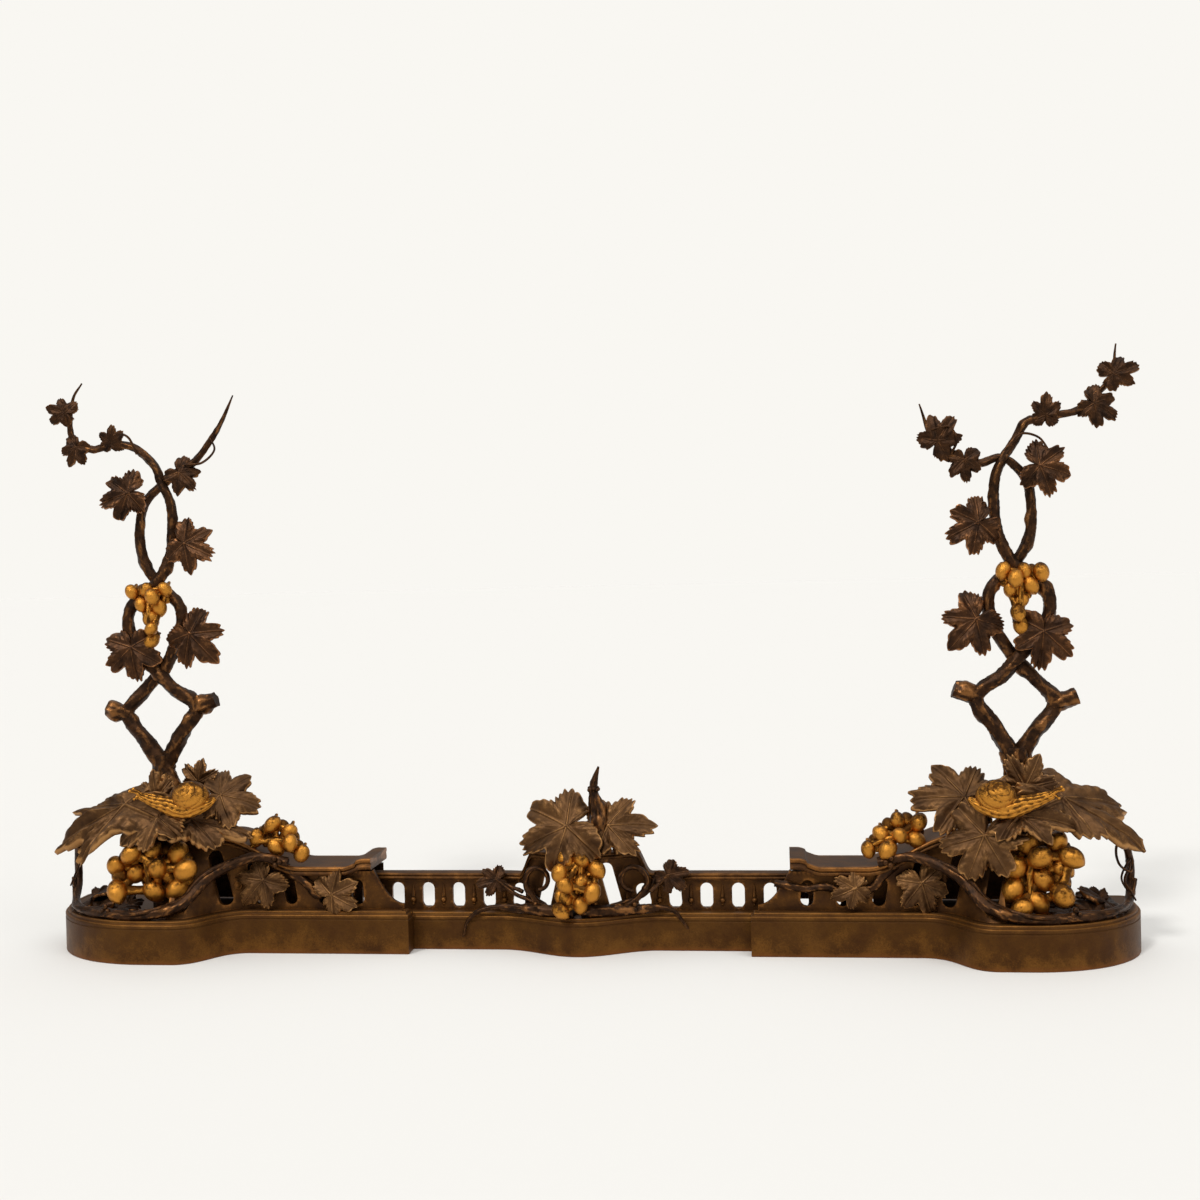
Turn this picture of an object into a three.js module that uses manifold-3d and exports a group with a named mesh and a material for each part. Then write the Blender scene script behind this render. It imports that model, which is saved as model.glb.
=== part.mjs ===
// Extending fire fender in cast bronze, with vine stems, leaves, grapes and snails.
// Millimetres, +Z up, +X to the right as seen from the room, -Y towards the room.
// The centre bar stands still on the hearth. Each end section slides outwards along it.

import * as THREE from "three";
import { mergeVertices } from "three/addons/utils/BufferGeometryUtils.js";
import Module from "manifold-3d";

const wasm = await Module();
wasm.setup();

// ---------------------------------------------------------------- driving dimensions

// Fits
const seatGap = 0.35; // between castings that are seated on each other
const slideGap = 1.6; // between the centre bar and what slides past it
const wall = 4; // thickness of the cast walls

// Spread of the two end sections
const halfOpening = 189; // from the middle to the inner end of an end section, at rest
const travelOut = 110; // how far an end section pulls out from rest
const travelIn = 40; // how far it pushes in from rest

// Centre bar
const centreHalf = 345;
const centreDepth = 42;
const centrePlinthHeight = 41;
const centreLip = 5; // height of the set-back step on top of the plinth
const lipSetback = 3;
const bowHalf = 88;
const bowDepth = 31; // how far the middle of the plinth bows forward
const upperBowDepth = 23; // how far the frieze and the rail bow forward
const centreFriezeSetback = 17;
const centreRailSetback = 10;
const centreRailDepth = 17;
const centreRailHeight = 8;
const centreRailTop = 84;
const raisedHalf = 58; // half the length of the raised middle of the rail
const raisedSlope = 16; // length of the slope at each side of it
const raisedHeight = 26;
const ornamentMiddle = 5; // the raised middle and its leaves sit this far right of the bow
const friezeThickness = 5;
const slotWidth = 14;
const slotPitch = 35;
const slotMargin = 5; // metal left above and below a slot

// End section: its frame starts at the plinth's inner end, with x outwards
const endLength = 418;
const plinthHeight = 47;
const frontStep = 24; // the end plinth's straight front stands this far before the centre's
const bulge = 54; // the rounded end stands this far before the straight front
const backEdge = 77; // from the centre's front to the back edge of the end sections
const straightLength = 181;
const sweepLength = 75; // length of the S-shaped stretch of the front
const roundingStart = 288; // where the front starts to turn round the end
const roundingBack = 39; // the widest place, behind the centre's front
const backCorner = 16;
const ledge = 15; // width of the plinth's top before the frieze
const plinthLip = 3;

// Shelf rail of an end section
const railThickness = 10.5;
const railFront = 18; // before the centre's front
const railDepth = 70;
const railInnerEnd = 43;
const blockLength = 18; // square block at the rail's inner end
const blockRise = 7;
const blockCrown = 2; // how much thicker the block is than the rail
const blockSlope = 16;
const climbLength = 92; // length of the rail's climb from the dip to the shelf
const shelfInward = 67; // from the shelf's inner end to the trunk
const shelfOverhang = 46; // from the trunk to the shelf's outer end
const shelfRise = 34.5; // from the dip to the shelf

// Pierced wall of an end section
const tailReach = 35; // how far the wall runs on past the rail's inner end
const tailHeight = 6;
const friezeClearance = 4; // between the wall and the pedestal
const plateSeat = 1; // how far a wall is drawn into the castings below and above it
const endSlotStart = 61;
const endSlotPitch = 39;
const endSlotCount = 6;

// Trellis
const trunkReach = 284; // from the plinth's inner end to the trunk
const trunkForward = 8; // the trunk stands this far before the centre's front
const trunkRadius = 13;
const trellisHeight = 518; // from the shelf to the top of the tallest branch
const stemRadius = 7;
const loopRadius = 6.2;
const twigRadius = 4.6;
const twigTipRadius = 2;

// Leaves and grapes
const leafThickness = 3;
const largeBerry = 12;
const smallBerry = 9.5;
const trellisBerry = 8.5;
const rimRadius = 5;
const sideStemRadius = 4.5;
const sideVineSink = 0.5; // how far the side vine lies in the wall before it is seated
const scrollRadius = 2.6; // thickness of the thin vine scrolls

// Slide bars, straps and bolts
const barHeight = 18;
const barThickness = 4;
const barLow = 14;
const barGrip = 80; // length of the bar inside the centre plinth
const rivetRadius = 3;
const strapWidth = 14;
const strapWall = 6;
const boltRadius = 5;
const boltHeadRadius = 9;
const boltHeadHeight = 8;
const pedestalFoot = 16;
const pedestalWaist = 11;

// ---------------------------------------------------------------- derived places

const straightY = -frontStep;
const bulgeY = straightY - bulge;
const dipUnderside = centreRailTop + slideGap;
const shelfUnderside = dipUnderside + shelfRise;
const shelfTop = shelfUnderside + railThickness;
const shelfStart = trunkReach - shelfInward;
const dipEnd = shelfStart - climbLength;
const shelfEnd = trunkReach + shelfOverhang;
const friezeEnd = trunkReach - pedestalFoot - friezeClearance;
const growth = trellisHeight / 518; // the vine on each end is drawn for this height, then scaled
const channelLength = centreHalf - halfOpening + travelIn + slideGap;
const strapStart = channelLength + strapWall;
const barReach = halfOpening + travelOut + strapStart + 2 * strapWidth;
const barBack = centreDepth - wall - seatGap;
const barFront = barBack - barThickness;
const frameShift = -(bulgeY + backEdge) / 2; // puts the middle of the depth at Y = 0

// ---------------------------------------------------------------- finishes

const finish = (color, roughness) => ({ color, roughness, metalness: 0.9 });
const rustBronze = finish(0x5a3f22, 0.6); // plinths: brown with ochre patches
const dullBronze = finish(0x5c4a37, 0.55); // rails, friezes and leaves
const darkBronze = finish(0x47332a, 0.45); // stems
const giltBronze = finish(0xa8741c, 0.35); // grapes and snails
const wroughtIron = finish(0x3a3734, 0.65);

// ---------------------------------------------------------------- solids

const vector = (point) => new THREE.Vector3(...point);
const turn = 2 * Math.PI;

// A closed surface as a solid, with its faces turned outwards.
function solid(geometry) {
  const loose = geometry.index ? geometry.toNonIndexed() : geometry;
  const bare = new THREE.BufferGeometry();
  bare.setAttribute("position", loose.getAttribute("position"));
  const merged = mergeVertices(bare, 1e-3);
  const places = merged.attributes.position.array;
  const corners = Array.from(merged.index.array);
  const faces = [];
  for (let i = 0; i < corners.length; i += 3) {
    const face = corners.slice(i, i + 3);
    if (new Set(face).size === 3) faces.push(face);
  }
  const at = (corner) => new THREE.Vector3().fromArray(places, 3 * corner);
  const volume = faces.reduce((sum, [a, b, c]) => sum + at(a).dot(at(b).cross(at(c))), 0);
  const outward = volume < 0 ? faces.map(([a, b, c]) => [a, c, b]) : faces;
  const triVerts = new Uint32Array(outward.flat());
  return new wasm.Manifold(new wasm.Mesh({ numProp: 3, vertProperties: places, triVerts }));
}

function geometryOf(points, faces) {
  const geometry = new THREE.BufferGeometry();
  geometry.setAttribute("position", new THREE.Float32BufferAttribute(points.flat(), 3));
  geometry.setIndex(faces.flat());
  return geometry;
}

// Rings of equally many points, skinned one to the next and capped at both ends.
function loft(rings) {
  const sides = rings[0].length;
  const last = rings.length - 1;
  const faces = [];
  for (let i = 0; i < last; i++) {
    for (let j = 0; j < sides; j++) {
      const a = i * sides + j;
      const b = i * sides + ((j + 1) % sides);
      faces.push([a, b, b + sides], [a, b + sides, a + sides]);
    }
  }
  for (let j = 1; j < sides - 1; j++) {
    faces.push([0, j + 1, j], [last * sides, last * sides + j, last * sides + j + 1]);
  }
  return solid(geometryOf(rings.flat(), faces));
}

// The value at a fraction of a list of values, straight between neighbours.
function along(values, fraction) {
  const place = fraction * (values.length - 1);
  const index = Math.min(Math.floor(place), values.length - 2);
  return THREE.MathUtils.lerp(values[index], values[index + 1], place - index);
}

// A stem: a smooth route with a round section whose radius follows a list of radii. Each span of
// the route gets as many sections as perSpan says.
function stem(route, radii, sides = 6, perSpan = 1) {
  const curve = new THREE.CatmullRomCurve3(route.map(vector), false, "centripetal");
  const steps = perSpan * (route.length - 1);
  const normal = new THREE.Vector3(0.3, 1, 0.2);
  const rings = [];
  for (let i = 0; i <= steps; i++) {
    const tangent = curve.getTangent(i / steps);
    normal.addScaledVector(tangent, -normal.dot(tangent)).normalize();
    const binormal = tangent.clone().cross(normal);
    const radius = along(radii, i / steps);
    const ring = [];
    for (let j = 0; j < sides; j++) {
      const angle = (turn * j) / sides;
      const point = curve.getPoint(i / steps);
      point.addScaledVector(normal, radius * Math.cos(angle));
      point.addScaledVector(binormal, radius * Math.sin(angle));
      ring.push(point.toArray());
    }
    rings.push(ring);
  }
  return loft(rings);
}

const join = (pieces) => pieces.reduce((whole, piece) => whole.add(piece));

function box(low, high) {
  const size = low.map((value, i) => high[i] - value);
  const geometry = new THREE.BoxGeometry(...size);
  geometry.translate(...low.map((value, i) => value + size[i] / 2));
  return solid(geometry);
}

// An upright cylinder between two heights.
function pin(x, y, low, high, radius, sides = 12) {
  const geometry = new THREE.CylinderGeometry(radius, radius, high - low, sides);
  geometry.rotateX(Math.PI / 2);
  geometry.translate(x, y, (low + high) / 2);
  return solid(geometry);
}

// A plan loop of [x, y] points between two heights.
function slab(loop, low, high) {
  const shape = new THREE.Shape(loop);
  const geometry = new THREE.ExtrudeGeometry(shape, { depth: high - low, bevelEnabled: false });
  geometry.translate(0, 0, low);
  return solid(geometry);
}

// A front-view shape of (x, z) between a front and a back.
function board(shape, front, back, curveSegments = 6) {
  const options = { depth: back - front, bevelEnabled: false, curveSegments };
  const geometry = new THREE.ExtrudeGeometry(shape, options);
  geometry.rotateX(Math.PI / 2);
  geometry.translate(0, back, 0);
  return solid(geometry);
}

// A plan loop moved inwards, corner by corner.
function inset(loop, distance) {
  const forward = THREE.ShapeUtils.isClockWise(loop) ? [...loop].reverse() : loop;
  return forward.map((point, i) => {
    const before = forward[(i + forward.length - 1) % forward.length];
    const after = forward[(i + 1) % forward.length];
    const arriving = point.clone().sub(before).normalize();
    const leaving = after.clone().sub(point).normalize();
    const inwards = new THREE.Vector2(-leaving.y, leaving.x);
    const middle = new THREE.Vector2(-arriving.y, arriving.x).add(inwards).normalize();
    const reach = distance / Math.max(0.5, middle.dot(inwards));
    return point.clone().addScaledVector(middle, reach);
  });
}

// A copy of a solid that is larger all round by a distance.
function swollen(piece, distance) {
  const mesh = piece.getMesh();
  const count = mesh.vertProperties.length / 3;
  const corner = (i) => new THREE.Vector3().fromArray(mesh.vertProperties, 3 * i);
  const sums = Array.from({ length: count }, () => new THREE.Vector3());
  const normals = Array.from({ length: count }, () => []);
  for (let i = 0; i < mesh.triVerts.length; i += 3) {
    const face = Array.from(mesh.triVerts.slice(i, i + 3));
    const [a, b, c] = face.map(corner);
    const normal = b.clone().sub(a).cross(c.clone().sub(a));
    if (normal.length() < 1e-6) continue;
    normal.normalize();
    face.forEach((index, k) => {
      const here = corner(index);
      const one = corner(face[(k + 1) % 3]).sub(here);
      const other = corner(face[(k + 2) % 3]).sub(here);
      sums[index].addScaledVector(normal, one.angleTo(other));
      normals[index].push(normal);
    });
  }
  const moved = Float32Array.from(mesh.vertProperties);
  sums.forEach((sum, index) => {
    const outwards = sum.normalize();
    const facing = Math.min(1, ...normals[index].map((normal) => normal.dot(outwards)));
    const reach = distance / Math.max(0.35, facing);
    corner(index).addScaledVector(outwards, reach).toArray(moved, 3 * index);
  });
  const triVerts = mesh.triVerts;
  return new wasm.Manifold(new wasm.Mesh({ numProp: 3, vertProperties: moved, triVerts }));
}

function boxesMeet(one, other) {
  const a = one.boundingBox();
  const b = other.boundingBox();
  return [0, 1, 2].every((axis) => a.min[axis] < b.max[axis] + 1 && b.min[axis] < a.max[axis] + 1);
}

// What is left of a piece once each carrier has its own room, as one body.
function seatedOn(carriers, piece) {
  let left = piece;
  for (const carrier of carriers) {
    if (boxesMeet(left, carrier.solid)) {
      carrier.room ??= swollen(carrier.solid, seatGap);
      left = left.subtract(carrier.room);
    }
  }
  const bodies = left.decompose();
  return bodies.reduce((most, body) => (body.volume() > most.volume() ? body : most));
}

// A part of the fender whose pieces share one frame. Each new piece is seated on the earlier
// ones, unless it fits as it is.
class Section {
  constructor(prefix) {
    this.prefix = prefix;
    this.group = new THREE.Group();
    this.pieces = [];
  }

  add(name, piece, look, fits = false) {
    const seated = fits ? piece : seatedOn(this.pieces, piece);
    this.pieces.push({ solid: seated });
    const mesh = seated.getMesh();
    const geometry = new THREE.BufferGeometry();
    geometry.setAttribute("position", new THREE.BufferAttribute(mesh.vertProperties, 3));
    geometry.setIndex(new THREE.BufferAttribute(mesh.triVerts, 1));
    const flat = geometry.toNonIndexed();
    flat.computeVertexNormals();
    const part = new THREE.Mesh(flat, new THREE.MeshStandardMaterial(look));
    part.name = this.prefix + name;
    this.group.add(part);
  }
}

// ---------------------------------------------------------------- vine leaves

// Half the outline of a five-lobed vine leaf: degrees from the tip, reach from the hub.
const leafOutline = [
  [0, 1],
  [14, 0.8],
  [27, 0.58],
  [53, 0.88],
  [72, 0.66],
  [86, 0.52],
  [118, 0.72],
  [150, 0.48],
];
const plainOutline = [
  [0, 1],
  [27, 0.58],
  [53, 0.88],
  [86, 0.52],
  [120, 0.72],
];
const leafNotch = 0.12; // reach of the notch where the stalk comes in

// A leaf from its hub to its tip, with its upper side turned towards face. The blade droops away
// from that side and has points at each of the rings' shares of its reach. The stalk, if it has
// one, runs back from the hub to a root.
function leaf(form) {
  const { hub, tip, face, root } = form;
  const { breadth = 1, droop = 0.12, stalk = 2.6, half = leafOutline, rings = [0.5, 1] } = form;
  const origin = vector(hub);
  const ahead = vector(tip).sub(origin);
  const length = ahead.length();
  ahead.normalize();
  const up = vector(face);
  up.addScaledVector(ahead, -up.dot(ahead)).normalize();
  const aside = up.clone().cross(ahead);
  const right = half.slice(1).map(([angle, reach]) => [-angle, reach]);
  const outline = [...half, [180, leafNotch], ...right.reverse()];
  const place = (angle, reach, depth) => {
    const radians = THREE.MathUtils.degToRad(angle);
    const point = origin.clone();
    point.addScaledVector(ahead, length * reach * Math.cos(radians));
    point.addScaledVector(aside, length * breadth * reach * Math.sin(radians));
    point.addScaledVector(up, -length * droop * reach * reach - depth);
    return point.toArray();
  };
  const points = [];
  for (const depth of [0, leafThickness]) {
    points.push(place(0, 0, depth));
    for (const share of rings) {
      points.push(...outline.map(([angle, reach]) => place(angle, share * reach, depth)));
    }
  }
  const count = outline.length;
  const under = rings.length * count + 1;
  const faces = [];
  for (let j = 0; j < count; j++) {
    let [a, b] = [1 + j, 1 + ((j + 1) % count)];
    faces.push([0, a, b], [under, under + b, under + a]);
    for (let ring = 1; ring < rings.length; ring++) {
      const [c, d] = [a + count, b + count];
      faces.push([a, c, d], [a, d, b]);
      faces.push([under + a, under + d, under + c], [under + a, under + b, under + d]);
      [a, b] = [c, d];
    }
    faces.push([a, under + a, under + b], [a, under + b, b]);
  }
  const blade = solid(geometryOf(points, faces));
  if (!root) return blade;
  return blade.add(stem([place(0, 0, 0.7 * leafThickness), root], [0.8 * stalk, 1.2 * stalk], 4));
}

// ---------------------------------------------------------------- grapes

// A bunch: berries, each on a stalk from the nearest place of the main stem.
function bunch(mainStem, stemRadii, berries, radius) {
  const curve = new THREE.CatmullRomCurve3(mainStem.map(vector));
  const nodes = curve.getPoints(6);
  const stalks = berries.map((berry) => {
    const centre = vector(berry);
    const nearest = nodes.reduce((best, node) =>
      node.distanceTo(centre) < best.distanceTo(centre) ? node : best,
    );
    const away = centre.clone().sub(nearest).length() < 1 ? [1, 0, 0] : [0, 0, 0];
    return stem([nearest.clone().add(vector(away)).toArray(), berry], [2, 2], 3);
  });
  const balls = berries.map((berry) => {
    const geometry = new THREE.IcosahedronGeometry(1.06 * radius, 0);
    geometry.scale(1, 1, 1.1);
    geometry.translate(...berry);
    return solid(geometry);
  });
  return join([stem(mainStem, stemRadii, 4), ...stalks, ...balls]);
}

// Berries at [across, up] places from an origin, in two layers: a berry with no room beside the
// earlier ones of the back layer lies in front of them. The layers come forward by slope towards
// the foot of the bunch.
function piled(origin, places, radius, slope = 0) {
  const top = Math.max(...places.map(([, up]) => up));
  const behind = [];
  const centres = places.map(([across, up]) => {
    const crowded = behind.some(([x, z]) => Math.hypot(across - x, up - z) < 1.9 * radius);
    if (!crowded) behind.push([across, up]);
    return [across, -slope * (top - up) - (crowded ? 1.2 * radius : 0), up];
  });
  return moved(origin, centres);
}

const moved = (origin, route) => route.map((p) => p.map((value, axis) => value + origin[axis]));

// A piece of the vine at the size that it has grown to, from the place that it grows from.
function grown(piece, origin) {
  return piece.translate(origin.map((value) => -value)).scale(growth).translate(origin);
}

// ---------------------------------------------------------------- pierced walls

// A wall from stations along x, each with its lower and upper front edge as [y, z].
function piercedWall(stations, slots) {
  const back = ([y, z]) => [y + friezeThickness, z];
  const rings = stations.map(({ x, low, high }) =>
    [low, high, back(high), back(low)].map(([y, z]) => [x, y, z]),
  );
  const plate = loft(rings);
  return plate.subtract(join(slots));
}

// A slot with round ends, cut from front to back, leaning by an angle.
function slot(x, low, high, lean = 0) {
  const radius = slotWidth / 2;
  const half = (high - low) / 2 - radius;
  const outline = [0, 55, 125, 180, 180, 235, 305, 360].map((degrees, i) => {
    const angle = THREE.MathUtils.degToRad(degrees);
    const middle = i < 4 ? half : -half;
    return new THREE.Vector2(radius * Math.cos(angle), middle + radius * Math.sin(angle));
  });
  const options = { depth: 2 * (bulge + frontStep), bevelEnabled: false };
  const geometry = new THREE.ExtrudeGeometry(new THREE.Shape(outline), options);
  geometry.rotateX(Math.PI / 2);
  geometry.rotateY(lean);
  geometry.translate(x, bulge + frontStep, (low + high) / 2);
  return solid(geometry);
}

// ---------------------------------------------------------------- centre bar

// How far the bow has come forward at x, as a share of its depth.
function bowShare(x) {
  return Math.abs(x) < bowHalf ? (1 + Math.cos((Math.PI * x) / bowHalf)) / 2 : 0;
}

// How far the rail has risen at x, as a share of its rise.
function riseShare(x) {
  const outside = Math.abs(x - ornamentMiddle) - raisedHalf;
  return 1 - THREE.MathUtils.smoothstep(outside, 0, raisedSlope);
}

// Places along the centre bar where its curves need a section.
function centreStations() {
  const rows = [-centreHalf, centreHalf, -bowHalf, bowHalf, 0];
  for (const side of [-1, 1]) {
    for (const share of [0, 0.35, 0.65, 1]) {
      rows.push(ornamentMiddle + side * (raisedHalf + share * raisedSlope));
    }
    for (const share of [0.25, 0.5]) rows.push(side * share * bowHalf);
  }
  return rows.sort((a, b) => a - b);
}

function centrePlinth() {
  const front = [];
  const steps = 14;
  for (let i = 0; i <= steps; i++) {
    const x = bowHalf * ((2 * i) / steps - 1);
    front.push(new THREE.Vector2(x, -bowDepth * bowShare(x)));
  }
  const corner = (x, y) => new THREE.Vector2(x, y);
  const loop = [
    corner(-centreHalf, centreDepth),
    corner(-centreHalf, 0),
    ...front,
    corner(centreHalf, 0),
    corner(centreHalf, centreDepth),
  ];
  const body = slab(loop, 0, centrePlinthHeight - centreLip);
  const step = slab(inset(loop, lipSetback), 1, centrePlinthHeight);
  const hollow = slab(inset(loop, wall), -1, centrePlinthHeight - wall - lipSetback);
  const rivetHoles = rivets(rivetRadius + seatGap, 2 * wall);
  const barHoles = [-1, 1].map((side) => {
    const [low, high] = [centreHalf - 2 * wall, centreHalf + wall];
    const span = [side * low, side * high].sort((a, b) => a - b);
    return box(
      [span[0], barFront - seatGap, barLow - seatGap],
      [span[1], barBack + seatGap, barLow + barHeight + seatGap],
    );
  });
  return body.add(step).subtract(hollow).subtract(join([...rivetHoles, ...barHoles]));
}

// Rivets through the back wall, two for each slide bar.
function rivets(radius, length) {
  const holes = [];
  for (const side of [-1, 1]) {
    for (const share of [0.25, 0.75]) {
      const geometry = new THREE.CylinderGeometry(radius, radius, length, 10);
      const x = side * (centreHalf - share * barGrip);
      geometry.translate(x, centreDepth - wall / 2, barLow + barHeight / 2);
      holes.push(solid(geometry));
    }
  }
  return holes;
}

function slideBar(side) {
  const inner = centreHalf - barGrip;
  const span = [side * inner, side * barReach].sort((a, b) => a - b);
  const low = [span[0], barFront, barLow];
  const bar = box(low, [span[1], barBack, barLow + barHeight]);
  const heads = [];
  for (const share of [0.25, 0.75]) {
    const x = side * (centreHalf - share * barGrip);
    const z = barLow + barHeight / 2;
    const shankEnd = centreDepth + seatGap;
    const shank = new THREE.CylinderGeometry(rivetRadius, rivetRadius, shankEnd - barFront, 10);
    shank.translate(x, (shankEnd + barFront) / 2, z);
    const head = new THREE.CylinderGeometry(rivetRadius, 2 * rivetRadius, rivetRadius, 10);
    head.translate(x, shankEnd + rivetRadius / 2, z);
    heads.push(solid(shank), solid(head));
  }
  return join([bar, ...heads]);
}

function centreRail() {
  const [depth, height] = [centreRailDepth, centreRailHeight];
  const profile = [
    [0, 0.25 * height],
    [0, 0.75 * height],
    [0.12 * depth, height],
    [depth, height],
    [depth, 0],
    [0.2 * depth, 0],
  ];
  const rings = centreStations().map((x) => {
    const front = centreRailSetback - upperBowDepth * bowShare(x);
    const low = centreRailTop - height + raisedHeight * riseShare(x);
    return profile.map(([y, z]) => [x, front + y, low + z]);
  });
  return loft(rings);
}

function centreFrieze() {
  const low = centrePlinthHeight - plateSeat;
  const railLow = centreRailTop - centreRailHeight;
  const top = (x) => railLow + plateSeat + raisedHeight * riseShare(x);
  const stations = centreStations().map((x) => {
    const y = centreFriezeSetback - upperBowDepth * bowShare(x);
    return { x, low: [y, low], high: [y, top(x)] };
  });
  const slots = [];
  const each = Math.floor((centreHalf - slotWidth) / slotPitch);
  for (let i = -each; i <= each; i++) {
    const x = i * slotPitch;
    const high = top(x + Math.sign(x) * slotWidth) - slotMargin;
    const lean = (riseShare(x) + riseShare(x - Math.sign(x) * slotPitch)) * Math.sign(x) * 0.12;
    slots.push(slot(x, centrePlinthHeight + slotMargin / 2, high, -lean));
  }
  return piercedWall(stations, slots);
}

const centreBerries = [
  [-12, 108],
  [6, 106],
  [23, 95],
  [-17, 93],
  [6, 82],
  [-11, 80],
  [19, 72],
  [-14, 64],
  [4, 57],
  [-16, 52],
];

// A vine scroll on the plinth's top: a stem from under the grapes that ends in a tendril hanging
// over the plinth's front, with a ring curled on it and a small leaf.
function centreVine(side, ringMiddle, tendrilReach, tendrilDrop, leafHub, leafTip) {
  const crest = centrePlinthHeight + sideStemRadius;
  const front = -scrollRadius - seatGap;
  const root = [
    [side * 4, -bowDepth + 8, crest],
    [side * 34, -bowDepth * bowShare(34) + 4, crest],
    [side * 64, -bowDepth * bowShare(64), crest + 2],
    [side * 88, front, crest + 2],
  ];
  const tendril = [
    [side * 82, front, crest + 2],
    [side * 0.5 * (88 + tendrilReach), front - 1, crest - 2],
    [side * (tendrilReach - 6), front, crest - 14],
    [side * tendrilReach, front, tendrilDrop],
  ];
  const [width, height] = [12, 18];
  const ringSteps = 9;
  const ringY = -bowDepth * bowShare(64) + 1;
  const ring = [];
  for (let i = 0; i <= ringSteps; i++) {
    const angle = -Math.PI / 2 + (turn * 0.97 * i) / ringSteps;
    const x = side * (ringMiddle + width * Math.cos(angle));
    ring.push([x, ringY + (6 * i) / ringSteps, crest + height + height * Math.sin(angle)]);
  }
  return join([
    stem(root, [sideStemRadius, sideStemRadius, sideStemRadius, scrollRadius]),
    stem(tendril, [scrollRadius, scrollRadius, 1.4], 5, 2),
    stem(ring, [scrollRadius, scrollRadius], 4),
    leaf({
      hub: leafHub,
      tip: leafTip,
      face: [0, -1, 0.2],
      breadth: 0.95,
      root: [side * (ringMiddle + width * 0.9), ringY + 2, crest + 1.2 * height],
      stalk: 2,
      half: plainOutline,
      rings: [1],
    }),
  ]);
}

function centreSection() {
  const section = new Section("centre_");
  const raisedTop = centreRailTop + raisedHeight;
  const railFace = centreRailSetback - upperBowDepth;
  section.add("plinth", centrePlinth(), rustBronze);
  section.add("rail", centreRail(), dullBronze);
  section.add("frieze", centreFrieze(), dullBronze);
  const budRoute = [
    [24, railFace + 9, raisedTop - 1],
    [23, railFace + 8, raisedTop + 38],
    [18, railFace + 8, raisedTop + 62],
    [19, railFace + 8, raisedTop + 76],
    [24, railFace + 8, raisedTop + 95],
  ];
  section.add("bud_stem", stem(budRoute, [11, 9, 6.5, 7, 0.8], 7), darkBronze);
  const leafLeft = leaf({
    hub: [-10, railFace - 7, raisedTop + 32],
    tip: [-66, railFace - 13, raisedTop + 10],
    face: [-0.1, -0.9, 0.45],
    root: [2, railFace + 6, raisedTop - 1],
    stalk: 3.4,
  });
  const leafRight = leaf({
    hub: [35, railFace - 2, raisedTop + 32],
    tip: [88, railFace - 7, raisedTop + 28],
    face: [0.1, -0.9, 0.45],
    root: [44, railFace + 8, raisedTop - 1],
    stalk: 3.4,
  });
  section.add("leaf_left", leafLeft, dullBronze);
  section.add("leaf_right", leafRight, dullBronze);
  const bunchY = railFace - smallBerry - 2;
  const berries = piled([0, bunchY, 0], centreBerries, smallBerry);
  const bunchStem = [
    [6, railFace - 2, raisedTop + 14],
    [6, bunchY, raisedTop],
    [4, bunchY, centreRailTop],
    [-6, bunchY, centrePlinthHeight + 14],
  ];
  section.add("grapes", bunch(bunchStem, [3, 2.5], berries, smallBerry), giltBronze);
  const leafBase = centrePlinthHeight + 37;
  const vineLeft = centreVine(-1, 52, 132, 15, [-94, 2, leafBase], [-116, -1, leafBase - 4]);
  const vineRight = centreVine(1, 68, 120, 25, [99, 2, leafBase + 6], [118, -1, leafBase - 10]);
  section.add("vine_left", vineLeft, darkBronze);
  section.add("vine_right", vineRight, darkBronze);
  section.prefix = "";
  section.add("slide_bar_left", slideBar(-1), wroughtIron, true);
  section.add("slide_bar_right", slideBar(1), wroughtIron, true);
  return section.group;
}

// ---------------------------------------------------------------- end sections

// The plan of an end plinth: straight front, S-shaped sweep, bulging rounded end, flat back.
function plinthPlan() {
  const shape = new THREE.Shape();
  const sweepEnd = straightLength + sweepLength;
  const ease = 0.55 * sweepLength;
  shape.moveTo(0, backEdge);
  shape.lineTo(0, straightY);
  shape.lineTo(straightLength, straightY);
  shape.bezierCurveTo(
    straightLength + ease,
    straightY,
    sweepEnd - ease,
    bulgeY,
    sweepEnd,
    bulgeY,
  );
  shape.lineTo(roundingStart, bulgeY);
  const reach = endLength - roundingStart;
  shape.absellipse(roundingStart, roundingBack, reach, roundingBack - bulgeY, -Math.PI / 2, 0);
  shape.lineTo(endLength, backEdge - backCorner);
  shape.quadraticCurveTo(endLength, backEdge, endLength - backCorner, backEdge);
  return shape.getPoints(5);
}

// The y of a plan loop's front at x.
function frontOf(loop, x) {
  let front = Infinity;
  loop.forEach((point, i) => {
    const next = loop[(i + 1) % loop.length];
    const low = Math.min(point.x, next.x);
    const high = Math.max(point.x, next.x);
    if (x < low || x > high || high - low < 1e-6) return;
    const y = THREE.MathUtils.lerp(point.y, next.y, (x - point.x) / (next.x - point.x));
    front = Math.min(front, y);
  });
  return front;
}

function endPlinth() {
  const loop = plinthPlan();
  const body = slab(loop, 0, plinthHeight - plinthLip);
  const top = slab(inset(loop, lipSetback), 1, plinthHeight);
  const hollow = slab(inset(loop, wall), -1, plinthHeight - wall - plinthLip);
  const channel = box(
    [-1, -slideGap, -1],
    [channelLength, backEdge + 1, plinthHeight + 1],
  );
  const boltHole = pin(trunkReach, -trunkForward, 0, plinthHeight + 1, boltRadius + seatGap);
  return body.add(top).subtract(hollow).subtract(channel).subtract(boltHole);
}

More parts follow.
